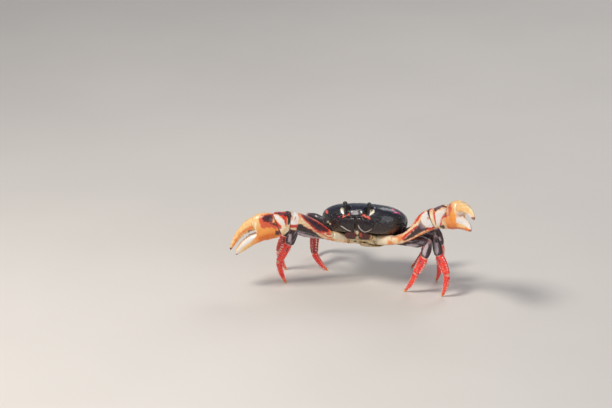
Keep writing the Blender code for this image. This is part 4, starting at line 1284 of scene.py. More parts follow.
def drawn(sheet, outline):
    """The corners of an outline on a sheet, in the photograph's pixels."""
    across, down, zoom = SHEETS[sheet]
    corners = [corner.split(",") for corner in outline.split()]
    return np.array(corners, float) / zoom + (across, down)


def marked(points, piece, plan, limb=None):
    """How deep points lie inside the marks of a piece, for each paint of a plan.

    A limb's middle point and across direction give its far side the near side's marks.
    """
    points = np.asarray(points, float)
    if limb:
        middle, across = (np.array(part) for part in limb)
        across = across * np.sign(across @ TO_CAMERA)
        points = points - np.outer(np.minimum(2.0 * (points - middle) @ across, 0.0), across)
    flat = in_picture(points)
    fields = {row[0]: np.full(len(flat), FAR_OUTSIDE) for row in plan}
    for sheet, paints in MARKS.get(piece, {}).items():
        for paint, outlines in paints.items():
            for outline in outlines:
                depth = depth_inside(flat, drawn(sheet, outline)) * PIXEL
                fields[paint] = np.maximum(fields[paint], depth)
    return fields


def body_rows(columns, rows):
    """The carapace's skin in the body's axes, closest where the face is."""
    turn = np.linspace(0.0, 2.0 * math.pi, columns, endpoint=False)
    angle = turn - 0.5 * np.cos(turn)
    rim = math.asin((-SHELL_RIM_Z / FLANK_DEPTH) ** (FLANK_POWER / 2.0))
    rise = np.linspace(math.pi / 2.0 - 0.012, -rim, rows)[:, None]
    sideways, lengthways = np.cos(angle)[None], np.sin(angle)[None]
    front = lengthways < 0.0
    power = np.where(front, OUTLINE_POWER_FRONT, OUTLINE_POWER_REAR)
    reach = np.where(front, FRONT_LENGTH, REAR_LENGTH)
    x = CARAPACE_WIDTH / 2.0 * signed_power(sideways, 2.0 / power)
    y = reach * signed_power(lengthways, 2.0 / power)
    height = np.where(rise > 0.0, BACK_HEIGHT, FLANK_DEPTH)
    fullness = np.where(rise > 0.0, BACK_POWER, FLANK_POWER)
    level = np.cos(rise) ** (2.0 / fullness)
    z = height * signed_power(np.sin(rise), 2.0 / fullness)
    return np.stack([x * level, y * level + WIDEST_Y, z + 0.0 * x], axis=2)


def shape_carapace(rows):
    """Regions and grooves of the back, swollen cheeks, and the eye sockets."""
    x, y, z = rows[..., 0], rows[..., 1], rows[..., 2]
    side = np.abs(x)
    # Swollen regions over the gills and the stomach, and the H-shaped groove
    gills = 0.8 * bell(side - 21.0, 11.0) * bell(y - 2.0, 13.0)
    stomach = 0.45 * bell(x, 7.5) * bell(y + 9.0, 7.0)
    beside = 0.42 * bell(side - 6.0 - 3.2 * np.cos((y + 2.0) / 7.0), 0.9) * bell(y + 1.0, 12.0)
    across = 0.35 * bell(y - 3.5 - 0.04 * x ** 2, 0.8) * bell(x, 7.0)
    middle = 0.3 * bell(x, 0.7) * bell(y + 20.0, 6.0)
    lift = (gills + stomach) * (z > 0.0) - (beside + across + middle) * (z > 4.0)
    # The ledge under the eyes, the cheeks and the crease low on the flank
    ledge = bell(z + 1.4 - 0.16 * (side - 8.0), 0.9) * bell(side - 14.0, 7.0)
    cheek = bell(side - 19.0, 7.0) * bell(z + 7.0, 4.5)
    lift += 0.5 * (ledge + cheek) * (y < -8.0)
    crease = bell(z + 9.4 - 0.28 * (side - 17.0), 0.7)
    lift -= 0.35 * crease * (side > 15.0) * (y < 6.0)
    lift += 0.12 * waves(rows, 9.0, 3) + 0.05 * waves(rows, 3.0, 4)
    rows = lifted(rows, lift)
    # The sockets with their raised rims
    cx, cy, cz = ORBIT["centre"]
    rx, ry, rz = ORBIT["radii"]
    away = ((np.abs(rows[..., 0]) - cx) / rx) ** 2 + ((rows[..., 2] - cz) / rz) ** 2
    faced = (rows[..., 1] < -12.0) & (rows[..., 2] < 12.5)
    rows[..., 1] -= 0.45 * bell(np.sqrt(away) - 1.12, 0.1) * faced
    back = cy + ry * np.sqrt(np.clip(1.0 - away, 0.0, 1.0)) * 1.05
    corner = (np.abs(rows[..., 0]) - cx) / rx - (rows[..., 2] - cz) / rz
    deep = np.clip(1.1 - 1.3 * corner, 0.12, 1.0) * faced * (away < 1.0)
    rows[..., 1] += np.maximum(back - rows[..., 1], 0.0) * deep
    return rows


def paint_carapace(points):
    flat = to_body(points)
    behind = np.clip(flat[:, 1] + 14.0, 0.0, 50.0)
    fields = {paint: depth - behind
              for paint, depth in marked(points, "face", SHELL_PAINTS).items()}
    return {**fields, "height": flat[:, 2]}


def small_form(levels, sides, root, top):
    """Round rings, each a radius, a height and a shift along X, closed by root and top."""
    turn = 2.0 * math.pi * np.arange(sides) / sides
    rings_list = [np.stack([radius * np.cos(turn) + shift, radius * np.sin(turn),
                            np.full(sides, height)], axis=1)
                  for radius, height, shift in levels]
    quads, ends = tube_faces(len(levels), sides)
    return np.concatenate([*rings_list, [root, top]]), quads.tolist() + ends


def dome(count, sides):
    """A unit dome of granule shape, sunk below its root."""
    leans = [math.pi / 2.0 * step / count for step in range(count)]
    levels = [(math.cos(lean), math.sin(lean) if lean else -0.5, 0.0) for lean in leans]
    return small_form(levels, sides, (0.0, 0.0, -0.5), (0.0, 0.0, 1.0))


def spine_form(count, sides, curve):
    """A unit spine along +Z with a flared root, bowed towards +X at its point."""
    rises = [step / count for step in range(count)]
    levels = [((1.0 - rise) ** 0.85 * (1.0 + 0.35 * math.exp(-rise * 14.0)), rise,
               curve * rise ** 2) for rise in rises]
    return small_form(levels, sides, (0.0, 0.0, -0.05), (curve, 0.0, 1.0))


def facing(direction, towards):
    """Axes with Z along direction and X as near towards as it can be."""
    z = unit(np.asarray(direction, float))
    x = np.asarray(towards, float)
    x = x - z * (x @ z)
    if np.linalg.norm(x) < 1e-6:
        x = np.cross(z, (0.3, 0.5, 0.8))
    x = unit(x)
    return np.stack([x, np.cross(z, x), z])


def skin_spot(rings, share, angle):
    """A point on a skin of rings, its outward direction and the way ahead."""
    sides = rings.shape[1]
    place = share * (len(rings) - 1)
    row = min(int(place), len(rings) - 2)
    blend = place - row
    turn = angle / 360.0 * sides - 0.5
    first = math.floor(turn)
    between = turn - first
    pair = rings[row:row + 2]
    low, high = pair[:, first % sides] * (1 - between) + pair[:, (first + 1) % sides] * between
    start, end = pair.mean(axis=1)
    point = low * (1 - blend) + high * blend
    middle = start * (1 - blend) + end * blend
    return point, unit(point - middle), unit(end - start)


def make_carapace(colours, sizes):
    rows = in_body(shape_carapace(body_rows(sizes.shell_columns, sizes.shell_columns // 2)))
    finish = shell_finish("carapace_shell", colours)
    shell = Skin().add_rows(rows, paint_carapace)
    made = shell.piece("carapace_shell", finish, ("carapace",), "dark_shell")
    cut_shell(made)
    lobe = np.array([ring((0.0, y + FRONT_LOBE_DEPTH, z), (1, 0, 0), (0, 1, 0), half,
                          FRONT_LOBE_DEPTH, 2.6, 64) for z, half, y in FRONT_LOBE])
    skin, share, length = smooth_rows(lobe, 30)
    skin[..., 1] += 0.3 * bell(skin[..., 0], 0.8) * (skin[..., 1] < -27.0)
    skin = round_ends(skin, share, length, 0.8, 0.7)
    piece = Skin().add_rows(in_body(skin), lambda points: marked(points, "lobe", SHELL_PAINTS))
    piece.piece("front_lobe", lobe_finish("front_lobe", colours), (), "dark_shell")
    make_granules(sizes, rows, finish)


def cut_shell(shell):
    """Cuts the mouth's recess and room for the limbs out of the shell."""
    cutters = bpy.data.collections.new("shell_cutters")
    bpy.context.scene.collection.children.link(cutters)
    forms = [maxilliped_rings(side, 24, CUT_CLEARANCE, 12.0) for side in (1.0, -1.0)]
    for limb in (*LEGS.values(), *SIDES.values()):
        forms += [limb.coxa_rings(24, CUT_CLEARANCE), limb.segment_rings(0, 24, CUT_CLEARANCE)]
    forms += [arm.segment_rings(1, 24, CUT_CLEARANCE) for arm in SIDES.values()]
    for index, form in enumerate(forms):
        gathered = Skin().add_rows(np.array(form))
        mesh = bpy.data.meshes.new(f"cutter_{index}")
        mesh.from_pydata((gathered.points[0] + STAND) * MM, [], gathered.faces)
        cutters.objects.link(bpy.data.objects.new(f"cutter_{index}", mesh))
    step = shell.modifiers.new("Cut", "BOOLEAN")
    step.operation = "DIFFERENCE"
    step.operand_type = "COLLECTION"
    step.collection = cutters
    step.solver = "MANIFOLD"
    bpy.context.view_layer.update()
    graph = bpy.context.evaluated_depsgraph_get()
    shell.data = bpy.data.meshes.new_from_object(shell.evaluated_get(graph))
    shell.modifiers.clear()
    for cutter in list(cutters.objects):
        bpy.data.objects.remove(cutter, do_unlink=True)
    bpy.data.collections.remove(cutters)


def make_granules(sizes, rows, finish):
    """Fine raised granules over the cheeks and along the shell's side edges."""
    draw = random.Random(11)
    form, faces = dome(2, 6)
    out = skin_out(rows)
    skin = Skin()
    flat = to_body(rows.reshape(-1, 3)).reshape(rows.shape)
    made = 0
    while made < sizes.granules:
        row = draw.randrange(rows.shape[0] // 4, rows.shape[0] - 2)
        column = draw.randrange(rows.shape[1])
        x, y, z = flat[row, column]
        if abs(x) < 17.0 and y < 0.0:
            continue
        chance = bell(z + 4.0, 6.5) * (0.25 if y > 2.0 else 1.0)
        if draw.random() > chance:
            continue
        size = draw.uniform(*GRANULE_SIZES)
        axes = facing(out[row, column], (0.0, 0.0, 1.0))
        skin.add((form * size * (1.0, 1.0, 0.6)) @ axes + rows[row, column], faces)
        made += 1
    skin.fields = {name: [(0, values)]
                   for name, values in paint_carapace(np.concatenate(skin.points)).items()}
    skin.piece("carapace_granules", finish, (), "dark_shell")


def sternum_groove(flat):
    """How near points lie to the seams between the sternum's plates, 0 to 1."""
    bowed = flat[..., 1] + 0.012 * flat[..., 0] ** 2
    return np.max([bell(bowed - y, 0.5) for y in STERNUM_SEAMS], axis=0)


def make_sternum(colours):
    rings_list = []
    for y, half, under in STERNUM:
        rings_list.append(ring((0.0, y, (STERNUM_TOP + under) / 2.0), (1, 0, 0), (0, 0, 1), half,
                               (STERNUM_TOP - under) / 2.0, 3.4, 96))

    def relief(rows):
        under = sternum_groove(rows) * (rows[..., 2] < -14.5)
        return 0.12 * waves(rows, 5.0, 8) - 0.55 * under

    def paint(points):
        return {"groove": sternum_groove(to_body(points)),
                **marked(points, "coxae", BELLY_PAINTS)}

    def paint_coxa(points):
        away = np.linalg.norm(points - far.mean(axis=0), axis=1)
        return {"groove": 0.7 * bell(away - 4.6, 0.5),
                **marked(points, "coxae", BELLY_PAINTS)}

    finish = belly_finish("sternum", colours)
    rows = in_body(fine_skin(rings_list, 140, 1.2, 1.2, 0.1, relief))
    Skin().add_rows(rows, paint).piece("sternum", finish, ("thorax",), "pale_belly")
    for name, limb in {**LEGS, **ARMS_BY_NODE}.items():
        near, far = limb.coxa_rings(48)
        swell = near * 0.45 + far * 0.55
        middle = swell.mean(axis=0)
        swell = middle + (swell - middle) * 1.1
        rows = fine_skin([near, swell, far], 30, 0.6, 0.9,
                         relief=lambda rows: 0.12 * waves(rows, 3.0, 5))
        skin = Skin().add_rows(rows, paint_coxa)
        skin.piece(f"coxa_{name}", finish, ("thorax",), "pale_belly")


def make_abdomen(colours):
    middles = [Vector((0.0, y, z)) for y, _, z in ABDOMEN]
    rings_list = []
    for index, (_, half, _) in enumerate(ABDOMEN):
        before = middles[max(index - 1, 0)]
        after = middles[min(index + 1, len(middles) - 1)]
        ahead = (after - before).normalized()
        out = Vector((1, 0, 0)).cross(ahead).normalized()
        rings_list.append(ring(middles[index], (1, 0, 0), out, half, ABDOMEN_DEPTH, 2.6, 72))
    rows, share, length = smooth_rows(rings_list, 130, 0.1)
    near = np.max([bell(share - seam, 0.008) for seam in ABDOMEN_SEAMS], axis=0)
    rows = lifted(rows, -0.4 * np.repeat(near[:, None], rows.shape[1], axis=1))
    rows = in_body(round_ends(rows, share, length, 0.8, 1.0))
    grooves = np.repeat(near, rows.shape[1])

    def paint(points):
        return {"groove": np.concatenate([grooves, (0.0, 0.0)])[:len(points)],
                **marked(points, "abdomen", BELLY_PAINTS)}

    Skin().add_rows(rows, paint).piece("abdomen_plates", belly_finish("abdomen", colours),
                                       ("abdomen",), "pale_belly")


def maxilliped_rings(side, sides, grow=0.0, forward=0.0):
    """Stacked flat sections of one mouth plate, from its top to its root."""
    rings_list = []
    last = len(MAXILLIPED) - 1
    swept = math.radians(MAXILLIPED_SWEEP)
    across = Vector((math.cos(swept), side * math.sin(swept), 0.0))
    back = Vector((-side * math.sin(swept), math.cos(swept), 0.0))
    for index, (z, half, middle, y) in enumerate(MAXILLIPED):
        lift = 2.0 * grow if index == 0 else (-2.0 * grow if index == last else 0.0)
        depth = MAXILLIPED_DEPTH + grow + forward / 2.0
        centre = Vector((side * middle, y, z + lift)) - back * (forward / 2.0)
        power = 12.0 if forward else 2.6
        rings_list.append(in_body(ring(centre, across, back, half + grow, depth, power, sides)))
    return rings_list


def make_mouth(colours):
    finish = mouth_finish("mouth_plates", colours)
    heights, halves, middles, fronts = np.array(MAXILLIPED)[::-1].T
    for side, word in ((1.0, "left"), (-1.0, "right")):
        rows, share, length = smooth_rows(maxilliped_rings(side, 96), 130, 0.15)
        flat = to_body(rows.reshape(-1, 3)).reshape(rows.shape)
        z = flat[..., 2]
        beside = side * flat[..., 0] - np.interp(z, heights, middles)
        beside /= np.interp(z, heights, halves)
        front = np.clip(np.interp(z, heights, fronts) - flat[..., 1], 0.0, 1.0)
        crest = 0.25 * bell(beside + 0.25, 0.08) - 0.35 * bell(beside, 0.35)
        lift = front * (0.3 * bell(np.abs(beside) - 0.9, 0.09) + crest * (z > -12.5))
        lift -= 0.6 * bell(z + 13.6, 0.45)
        line = marked(rows.reshape(-1, 3), "mouth", MOUTH_PAINTS)["line"].reshape(z.shape)
        lift += 0.25 * np.clip(line / 0.4 + 1.0, 0.0, 1.0) * front
        rows = lifted(rows, lift + 0.06 * waves(rows, 2.5, 9))
        rows = round_ends(rows, share, length, 1.3, 0.8)

        def paint(points):
            return {"height": to_body(points)[:, 2], **marked(points, "mouth", MOUTH_PAINTS)}

        piece = Skin().add_rows(rows, paint)
        piece.piece(f"mouth_plate_{word}", finish, (f"maxilliped_{word}",), "mouth_plates")
    jaw = [ring((0.0, y, z), (1, 0, 0), (0, 1, 0), half, 1.2, 2.4, 48) for z, half, y in JAW]
    skin = Skin().add_rows(in_body(fine_skin(jaw, 40, 0.8, 0.8)))
    skin.piece("jaw", tooth_finish("jaw"), (), "mouth_plates")
    make_mouth_bristles()


def make_mouth_bristles():
    """Short bristles along the inner edges of the mouth plates."""
    draw = random.Random(21)
    form, faces = spine_form(3, 4, 0.0)
    skin = Skin()
    for side in (1.0, -1.0):
        for _ in range(BRISTLES):
            share = draw.random()
            z = -3.0 - 12.0 * share
            row = min(range(len(MAXILLIPED)), key=lambda k: abs(MAXILLIPED[k][0] - z))
            _, half, middle, y = MAXILLIPED[row]
            start = in_body((side * (middle - half + 0.5), y - 0.6 + draw.uniform(-0.6, 0.6), z))
            way = in_body((side * (middle - half - 1.2 + draw.uniform(-0.3, 0.3)),
                           y - 1.4, z - 0.8 + draw.uniform(-0.5, 0.5))) - start
            size = np.array((0.05, 0.05, draw.uniform(0.7, 1.4)))
            skin.add((form * size) @ facing(way, (0, 0, 1)) + start, faces)
    skin.piece("mouth_bristles", bristle_finish("bristles"), (), "mouth_plates")


def rod_rows(foot, top, radii, sides):
    """Rings along a straight rod through evenly spaced radii."""
    ahead = unit(np.asarray(top, float) - foot)
    x = unit(np.cross(ahead, (0.31, 0.77, 0.55)))
    y = np.cross(ahead, x)
    places = np.linspace(0.0, 1.0, len(radii))
    return [ring(foot + (np.asarray(top) - foot) * place, x, y, radius, radius, 2.0, sides)
            for place, radius in zip(places, radii)]


def make_eyes():
    eye = eye_finish("eye")
    stalk = stalk_finish("eyestalk")
    feeler = joint_finish("antenna", (0.3, "2a1216"), (0.7, "7c3a34"))
    for side, word in ((1.0, "left"), (-1.0, "right")):
        foot, top = paired(EYESTALK["foot"], side), paired(EYESTALK["top"], side)
        radii = [EYESTALK["radius"] * part for part in STALK_PROFILE]
        rows = fine_skin(rod_rows(foot, top, radii, 40), 40, 0.3, 0.2,
                         relief=lambda rows: 0.08 * waves(rows, 1.4, 6))
        Skin().add_rows(rows).piece(f"stalk_{word}", stalk, (f"eyestalk_{word}",), "dark_shell")
        ahead = unit(top - foot)
        start = top + ahead * 0.05
        radii = [EYE["radius"] * part for part in EYE_PROFILE]
        end = top + ahead * (GAP + EYE["length"])
        rows = fine_skin(rod_rows(start, end, radii, 56), 48, 0.5, 1.15)
        Skin().add_rows(rows).piece(f"cornea_{word}", eye, (f"eye_{word}",), "eye")
        foot, tip = paired(ANTENNA["foot"], side), paired(ANTENNA["tip"], side)
        radii = [ANTENNA["radius"] * part for part in ANTENNA_PROFILE]
        rows = smooth_rows(rod_rows(foot, tip, radii, 20), 60)[0]
        Skin().add_rows(rows).piece(f"feeler_{word}", feeler, (f"antenna_{word}",),
                                    "mouth_plates")


def segment_skin(limb, index, sides, count, ridges, teeth=0.0):
    """One segment's fine skin with its ridges, plain at its two ends."""
    rows, share, length = smooth_rows(limb.segment_rings(index, sides), count)
    rows = raise_ridges(rows, share, ridges, teeth)
    ends = np.clip(np.minimum(share, 1.0 - share) / 0.05, 0.0, 1.0)[:, None]
    rows = lifted(rows, 0.07 * ends * waves(rows, 4.0, 31 + index))
    return rows, share, length


def leg_fields(points, name, index):
    """What the paint of a leg segment goes by, at points of its skin."""
    leg = LEGS[name]
    axes, size = leg.axes(index), leg.span(index)[2]
    along, up, across = local(points, axes).T
    share, after = along / size, size - along
    ends = (np.minimum(np.abs(along - 0.2 * size), after), np.minimum(along, after),
            np.minimum(along, after), along)[index]
    dusk = DUSK.get(name, 0.0) * (0.2 if index == 3 else 1.0)
    fields = {"along": along / 5.0 + leg.seed * 3.1, "up": up, "across": across,
              "dusk": np.full(len(points), dusk), "ends": ends}
    if index > 1:
        # Where the propodus carries its painted shade
        propodus_shade = bell(share - 0.25, 0.22) * bell(up, 1.6)
        return {**fields, "foot": share * (index == 3), "propodus_shade": propodus_shade * (index == 2)}
    marks = marked(points, f"leg_{name}_{leg.segments[index]}", LEG_PAINTS, (axes[0], axes[3]))
    # flank and crest carry the painted highlight down the flank's middle and the painted shade at its
    # upper and lower edges
    return {**fields, "flank": bell(up + 0.3, 1.8), "crest": np.abs(up) / 4.4, **marks}


def make_legs(colours, sizes):
    """Each segment with its own count of rows, ridge teeth, rounding and finish."""
    thigh = (thigh_finish("upper_leg", colours), "leg_mauve")
    shin = (shin_finish("lower_leg", colours), "leg_red")
    plans = ((90, 0.5, 0.8, thigh), (70, 0.5, 0.8, thigh), (70, 0.0, 0.8, shin),
             (70, 0.0, 0.25, shin))
    for name, leg in LEGS.items():
        for index, (count, teeth, end, (finish, slot)) in enumerate(plans):
            word = leg.segments[index]
            rows, share, length = segment_skin(leg, index, sizes.leg_sides, count,
                                               LEG_RIDGES[word], teeth)
            rows = round_ends(rows, share, length, 0.8, end)
            skin = Skin().add_rows(rows, lambda points: leg_fields(points, name, index))
            skin.piece(f"{name}_{word}", finish, (f"leg_{name}_{word}",), slot)


def spine_rows():
    """Every row of spines with its angle and size, its stagger and the rest of its plan."""
    for rows, first, *rest in SPINE_PLANS:
        for index, row in enumerate(rows):
            yield (row, 0.5 * ((index + first) % 2), *rest)


def make_leg_spines(colours, sizes):
    """Rows of sharp spines down both lower segments of every leg, and bumps between."""
    form, faces = spine_form(5, 8, 0.3)
    bump, bump_faces = dome(2, 6)
    finish = spine_finish("spines", colours)
    skin_red = spine_finish("bumps", colours)
    rise = np.clip(form[:, 2], 0.0, 1.0)
    for name, leg in LEGS.items():
        skin, bumps = Skin(), Skin()
        for index, word in ((2, "propodus"), (3, "dactylus")):
            rows = smooth_rows(leg.segment_rings(index, 48), 80, 0.0)[0]
            number, first, last, height, radius = SPINES[word]
            draw = random.Random(leg.seed * 10 + index)
            for row, stagger, stray, swing, thick, least, most in spine_rows():
                angle, scale = row
                stretch = np.array((radius * thick, radius * thick, height + SPINE_SUNK))
                for step in range(number):
                    place = (step + stagger) / (number - 0.5)
                    share = first + (last - first) * place + draw.uniform(-stray, stray)
                    point, out, ahead = skin_spot(rows, share,
                                                  angle + draw.uniform(-swing, swing))
                    size = scale * draw.uniform(least, most)
                    way = unit(out + ahead * SPINE_LEAN)
                    shape = form * stretch * size * sizes.spine_scale
                    skin.add(shape @ facing(way, ahead) + point - way * SPINE_SUNK * size,
                             faces, rise=rise)
            for _ in range(sizes.leg_bumps):
                point, out, ahead = skin_spot(rows, draw.uniform(0.1, 0.85),
                                              draw.uniform(0.0, 360.0))
                size = draw.uniform(*LEG_BUMP_SIZES)
                bumps.add((bump * size) @ facing(out, ahead) + point, bump_faces,
                          rise=np.full(len(bump), draw.uniform(0.0, 0.3)))
        skin.piece(f"{name}_spines", finish, (), "leg_red")
        bumps.piece(f"{name}_bumps", skin_red, (), "leg_red")


def make_joint_skins(colours):
    """Soft skin that shows between the segments of every limb."""
    leg_skin = joint_finish("leg_joint_skin", (0.3, "8a4440"), (0.5, colours.joint),
                            (0.75, "e6c2b4"))
    arm_skin = joint_finish("arm_joint_skin", (0.3, "1c0b0e"), (0.55, "4a161c"),
                            (0.8, "8a3c34"))
    cream = joint_finish("arm_root_skin", (0.3, "d9773c"), (0.5, "f3b98a"), (0.75, "fbe6c8"))
    plans = [(f"{name}_joint_skins", leg, range(4), 1.5, leg_skin, "leg_mauve")
             for name, leg in LEGS.items()]
    for word, arm in SIDES.items():
        plans.append((f"claw_{word}_root_skins", arm, (0, 1), 1.9, cream, "arm_shell"))
        plans.append((f"claw_{word}_joint_skins", arm, (2, 3), 1.9, arm_skin, "arm_shell"))
    for name, limb, joints, reach, finish, slot in plans:
        skin = Skin()
        for joint in joints:
            rows = []
            for shift in np.linspace(-reach, reach, 13):
                pinch = 0.6 + 0.25 * (abs(shift) / reach) ** 2 + 0.12 * math.cos(shift * 9.0)
                rows.append(limb.joint_ring(joint, shift, 40, -pinch))
            skin.add_rows(np.array(rows))
        skin.piece(name, finish, (), slot)


def make_arms(colours, sizes):
    finish = arm_finish("arm_shell", colours)
    for word, arm in SIDES.items():
        front = arm.front
        sign = 1.0 if front == 0.0 else -1.0
        lower = front - (sign * 8.0 if word == "right" else 50.0)
        ridges = ((), ((front + sign * 62.0, 0.5, 9.0), (lower, 0.45, 9.0),
                       (front + 180.0 - sign * 50.0, 0.4, 10.0)),
                  ((front + sign * 58.0, 0.4, 10.0), (front + 180.0 - sign * 58.0, 0.3, 10.0)))
        for index, segment in enumerate(("ischium", "merus", "carpus")):
            rows, share, length = segment_skin(arm, index, sizes.claw_sides, 90,
                                               ridges[index], 0.5)
            rows = round_ends(rows, share, length, 0.9, 1.2)
            axes, size = arm.axes(index), arm.span(index)[2]
            angle = 360.0 * (np.arange(rows.shape[1]) + 0.5) / rows.shape[1]
            ridge = np.zeros(rows.shape[:2])
            for degrees, _, width in ridges[index]:
                ridge = np.maximum(ridge, bell(degrees_between(angle, degrees), width * 1.3))

            def paint(points):
                along = local(points, axes)[:, 0]
                near = along if index == 2 else 9.0
                ends = np.clip(np.minimum(near, size - along), 0.0, 9.0)
                return {"seam": bell(ends, 0.5) * (0.0, 0.6, 1.0)[index],
                        "ridge": np.concatenate([ridge.ravel(), (0.0, 0.0)]),
                        **marked(points, f"{segment}_{word}", ARM_PAINTS, (axes[0], axes[3]))}

            Skin().add_rows(rows, paint).piece(f"arm_{word}_{segment}", finish,
                                               (f"claw_{word}_{segment}",), "arm_shell")


def tooth_skin(skin, rings_list, angle, plan, seed):
    """Low rounded teeth along one edge of a finger, a few of them larger."""
    form, faces = dome(4, 12)
    number, first, last, height, radius = plan
    draw = random.Random(seed)
    rows = smooth_rows(rings_list, 60, 0.0)[0]
    for step in range(number):
        share = first + (last - first) * (step + draw.uniform(-0.2, 0.2)) / (number - 1)
        point, out, ahead = skin_spot(rows, share, angle + draw.uniform(-4.0, 4.0))
        size = draw.uniform(0.65, 1.0) * (1.0 - 0.45 * share) * (1.55 if step % 4 == 2 else 1.0)
        stretch = np.array((radius * 1.15, radius * 0.9, height)) * size
        skin.add((form * stretch) @ facing(out, ahead) + point, faces,
                 rise=np.clip(form[:, 2], 0.0, 1.0))


def finger_skin(rings_list, crest, near, far):
    """A finger's fine skin, with a crest along its biting edge and two lower ridges."""
    rows, share, length = smooth_rows(rings_list, 110, 0.2)
    ridges = ((crest, 0.35, 16.0), (crest - 70.0, 0.2, 14.0), (crest + 70.0, 0.2, 14.0))
    return round_ends(raise_ridges(rows, share, ridges), share, length, near, far)


def claw_fields(points, part, word):
    """What the paint of a hand or thumb goes by, at points of its skin."""
    arm = SIDES[word]
    away = points - np.array(arm.points[3])
    reach = away @ np.array(arm.palm_x)
    edge = bell(np.clip(reach, 0.0, 9.0), 1.2) * (part == "hand")
    return {"height": away @ np.array(arm.palm_y), "reach": reach, "wrist_edge": edge,
            **marked(points, f"{part}_{word}", PALM_PAINTS, (arm.points[3], arm.palm_z))}


def make_claws(colours, sizes):
    finish = palm_finish("claw_shell", colours)
    tooth = tooth_finish("teeth")
    cream = joint_finish("hinge_skin", (0.3, "e8b070"), (0.6, "fbe7bd"))
    sides = sizes.claw_sides
    for word, arm in SIDES.items():
        rings_list = [arm.joint_ring(3, GAP / 2.0, sides)]
        rings_list += [arm.claw_ring(*station, 0.0, 0.0, sides) for station in PALM]
        rows = fine_skin(rings_list, 110, 1.2, 2.6, 0.2, lambda rows: 0.15 * waves(rows, 6.0, 41))
        skin = Skin().add_rows(rows, lambda points: claw_fields(points, "hand", word))
        fixed = arm.finger_rings(FIXED_FINGER[word], 0.0, sides)
        skin.add_rows(finger_skin(fixed, 90.0, 0.0, 0.5),
                      lambda points: claw_fields(points, "hand", word))
        skin.piece(f"claw_{word}_hand", finish, (f"claw_{word}_palm",), "claw_shell")
        moving = arm.finger_rings(MOVING_FINGER, arm.plan["gape"], sides)
        thumb = Skin().add_rows(finger_skin(moving, 270.0, 1.0, 0.35),
                                lambda points: claw_fields(points, "thumb", word))
        thumb.piece(f"claw_{word}_thumb", finish, (f"claw_{word}_finger",), "claw_shell")
        teeth = Skin()
        tooth_skin(teeth, fixed[1:], 90.0, FIXED_TEETH, 51)
        tooth_skin(teeth, moving, 270.0, MOVING_TEETH, 52)
        teeth.piece(f"claw_{word}_teeth", tooth, (), "claw_shell")
        hinge = []
        for shift in np.linspace(-1.2, 1.3, 11):
            pinch = 0.9 + 0.5 * abs(shift)
            hinge.append(arm.claw_ring(19.75 + shift, 7.0, 6.0 - pinch, 5.4 - pinch, 0.0, 0.0, 48))
        Skin().add_rows(np.array(hinge)).piece(f"claw_{word}_hinge_skin", cream, (),
                                               "claw_shell")


def soft_light(name, strength, place, size, power, colour):
    data = bpy.data.lights.new(name, "AREA")
    data.shape = "DISK"
    data.size = size
    data.energy = power * strength
    data.color = colour
    made = placed(name, data)
    made.location = place
    made.rotation_euler = (LIGHT_TARGET - Vector(place)).to_track_quat("-Z", "Y").to_euler()


def make_stage(stage):
    """Plain pale floor, soft lights and the photograph's camera."""
    points = [(x * FLOOR_HALF, y * FLOOR_HALF, 0.0) for x, y in FLOOR_CORNERS]
    mesh = bpy.data.meshes.new("floor")
    mesh.from_pydata(points, [], [(0, 1, 2, 3)])
    mesh.materials.append(floor_finish("floor", stage))
    floor = placed("floor", mesh)
    for name, plan in LIGHTS.items():
        soft_light(name, stage.light, *plan)
    world = bpy.data.worlds.new("studio")
    world.use_nodes = True
    background = world.node_tree.nodes["Background"].inputs
    background["Color"].default_value = SKY_COLOUR
    background["Strength"].default_value = SKY_STRENGTH
    bpy.context.scene.world = world
    data = bpy.data.cameras.new("camera")
    data.lens = stage.lens
    data.sensor_width = SENSOR_WIDTH
    camera = placed("camera", data)
    camera.location = (CAMERA_PLACE + Vector(STAND)) * MM
    camera.rotation_euler = (math.pi / 2.0 - CAMERA_FALL, 0.0, CAMERA_TURN)
    bpy.context.scene.camera = camera
    bpy.context.scene.view_settings.view_transform = "Standard"


def shade(name, description, code):
    return FloatVectorProperty(name=name, description=description, subtype="COLOR",
                               min=0.0, max=1.0, default=tone(code))


class CrabColours(bpy.types.PropertyGroup):
    shell: shade("Shell", "Face and sides of the carapace", "131015")
    # The navy of the back is a painted bluish sky reflection
    shell_back_sky_reflection: shade("Back", "Back of the carapace", "111226")
    belly: shade("Belly", "Sternum and tail plates", "efe3c4")
    claw: shade("Claw", "Palms of the claws", "fba64f")
    claw_finger: shade("Finger", "Fingers of the claws", "ffcd88")
    patch: shade("White patch", "White patches of the arms and claws", "f4ece6")
    rim_red: shade("Red edge", "Edges round the patches", "dc3a26")
    maroon: shade("Maroon", "Dark patches of the arms and claws", "4c0f1e")
    leg_dark: shade("Upper leg", "Darkest tone of the upper legs", "1d1218")
    leg_red: shade("Lower leg", "Lower legs", "ff2f28")
    spine: shade("Spine", "Spines of the lower legs", "f8e6d4")
    joint: shade("Joint", "Soft skin at the joints", "b98d8c")


def number(name, description, usual, least, most):
    return IntProperty(name=name, description=description, default=usual, min=least, max=most)


class CrabSizes(bpy.types.PropertyGroup):
    shell_columns: number("Shell columns", "Points round the carapace", 360, 60, 600)
    leg_sides: number("Leg sides", "Points round each leg segment", 60, 16, 120)
    claw_sides: number("Claw sides", "Points round each claw segment", 96, 24, 160)
    granules: number("Granules", "Raised granules on the carapace", 2600, 0, 5000)
    leg_bumps: number("Leg bumps", "Small bumps on each lower segment", 70, 0, 300)
    spine_scale: FloatProperty(name="Spine size", description="Size of the leg spines",
                               default=1.0, min=0.2, max=1.6, subtype="FACTOR")


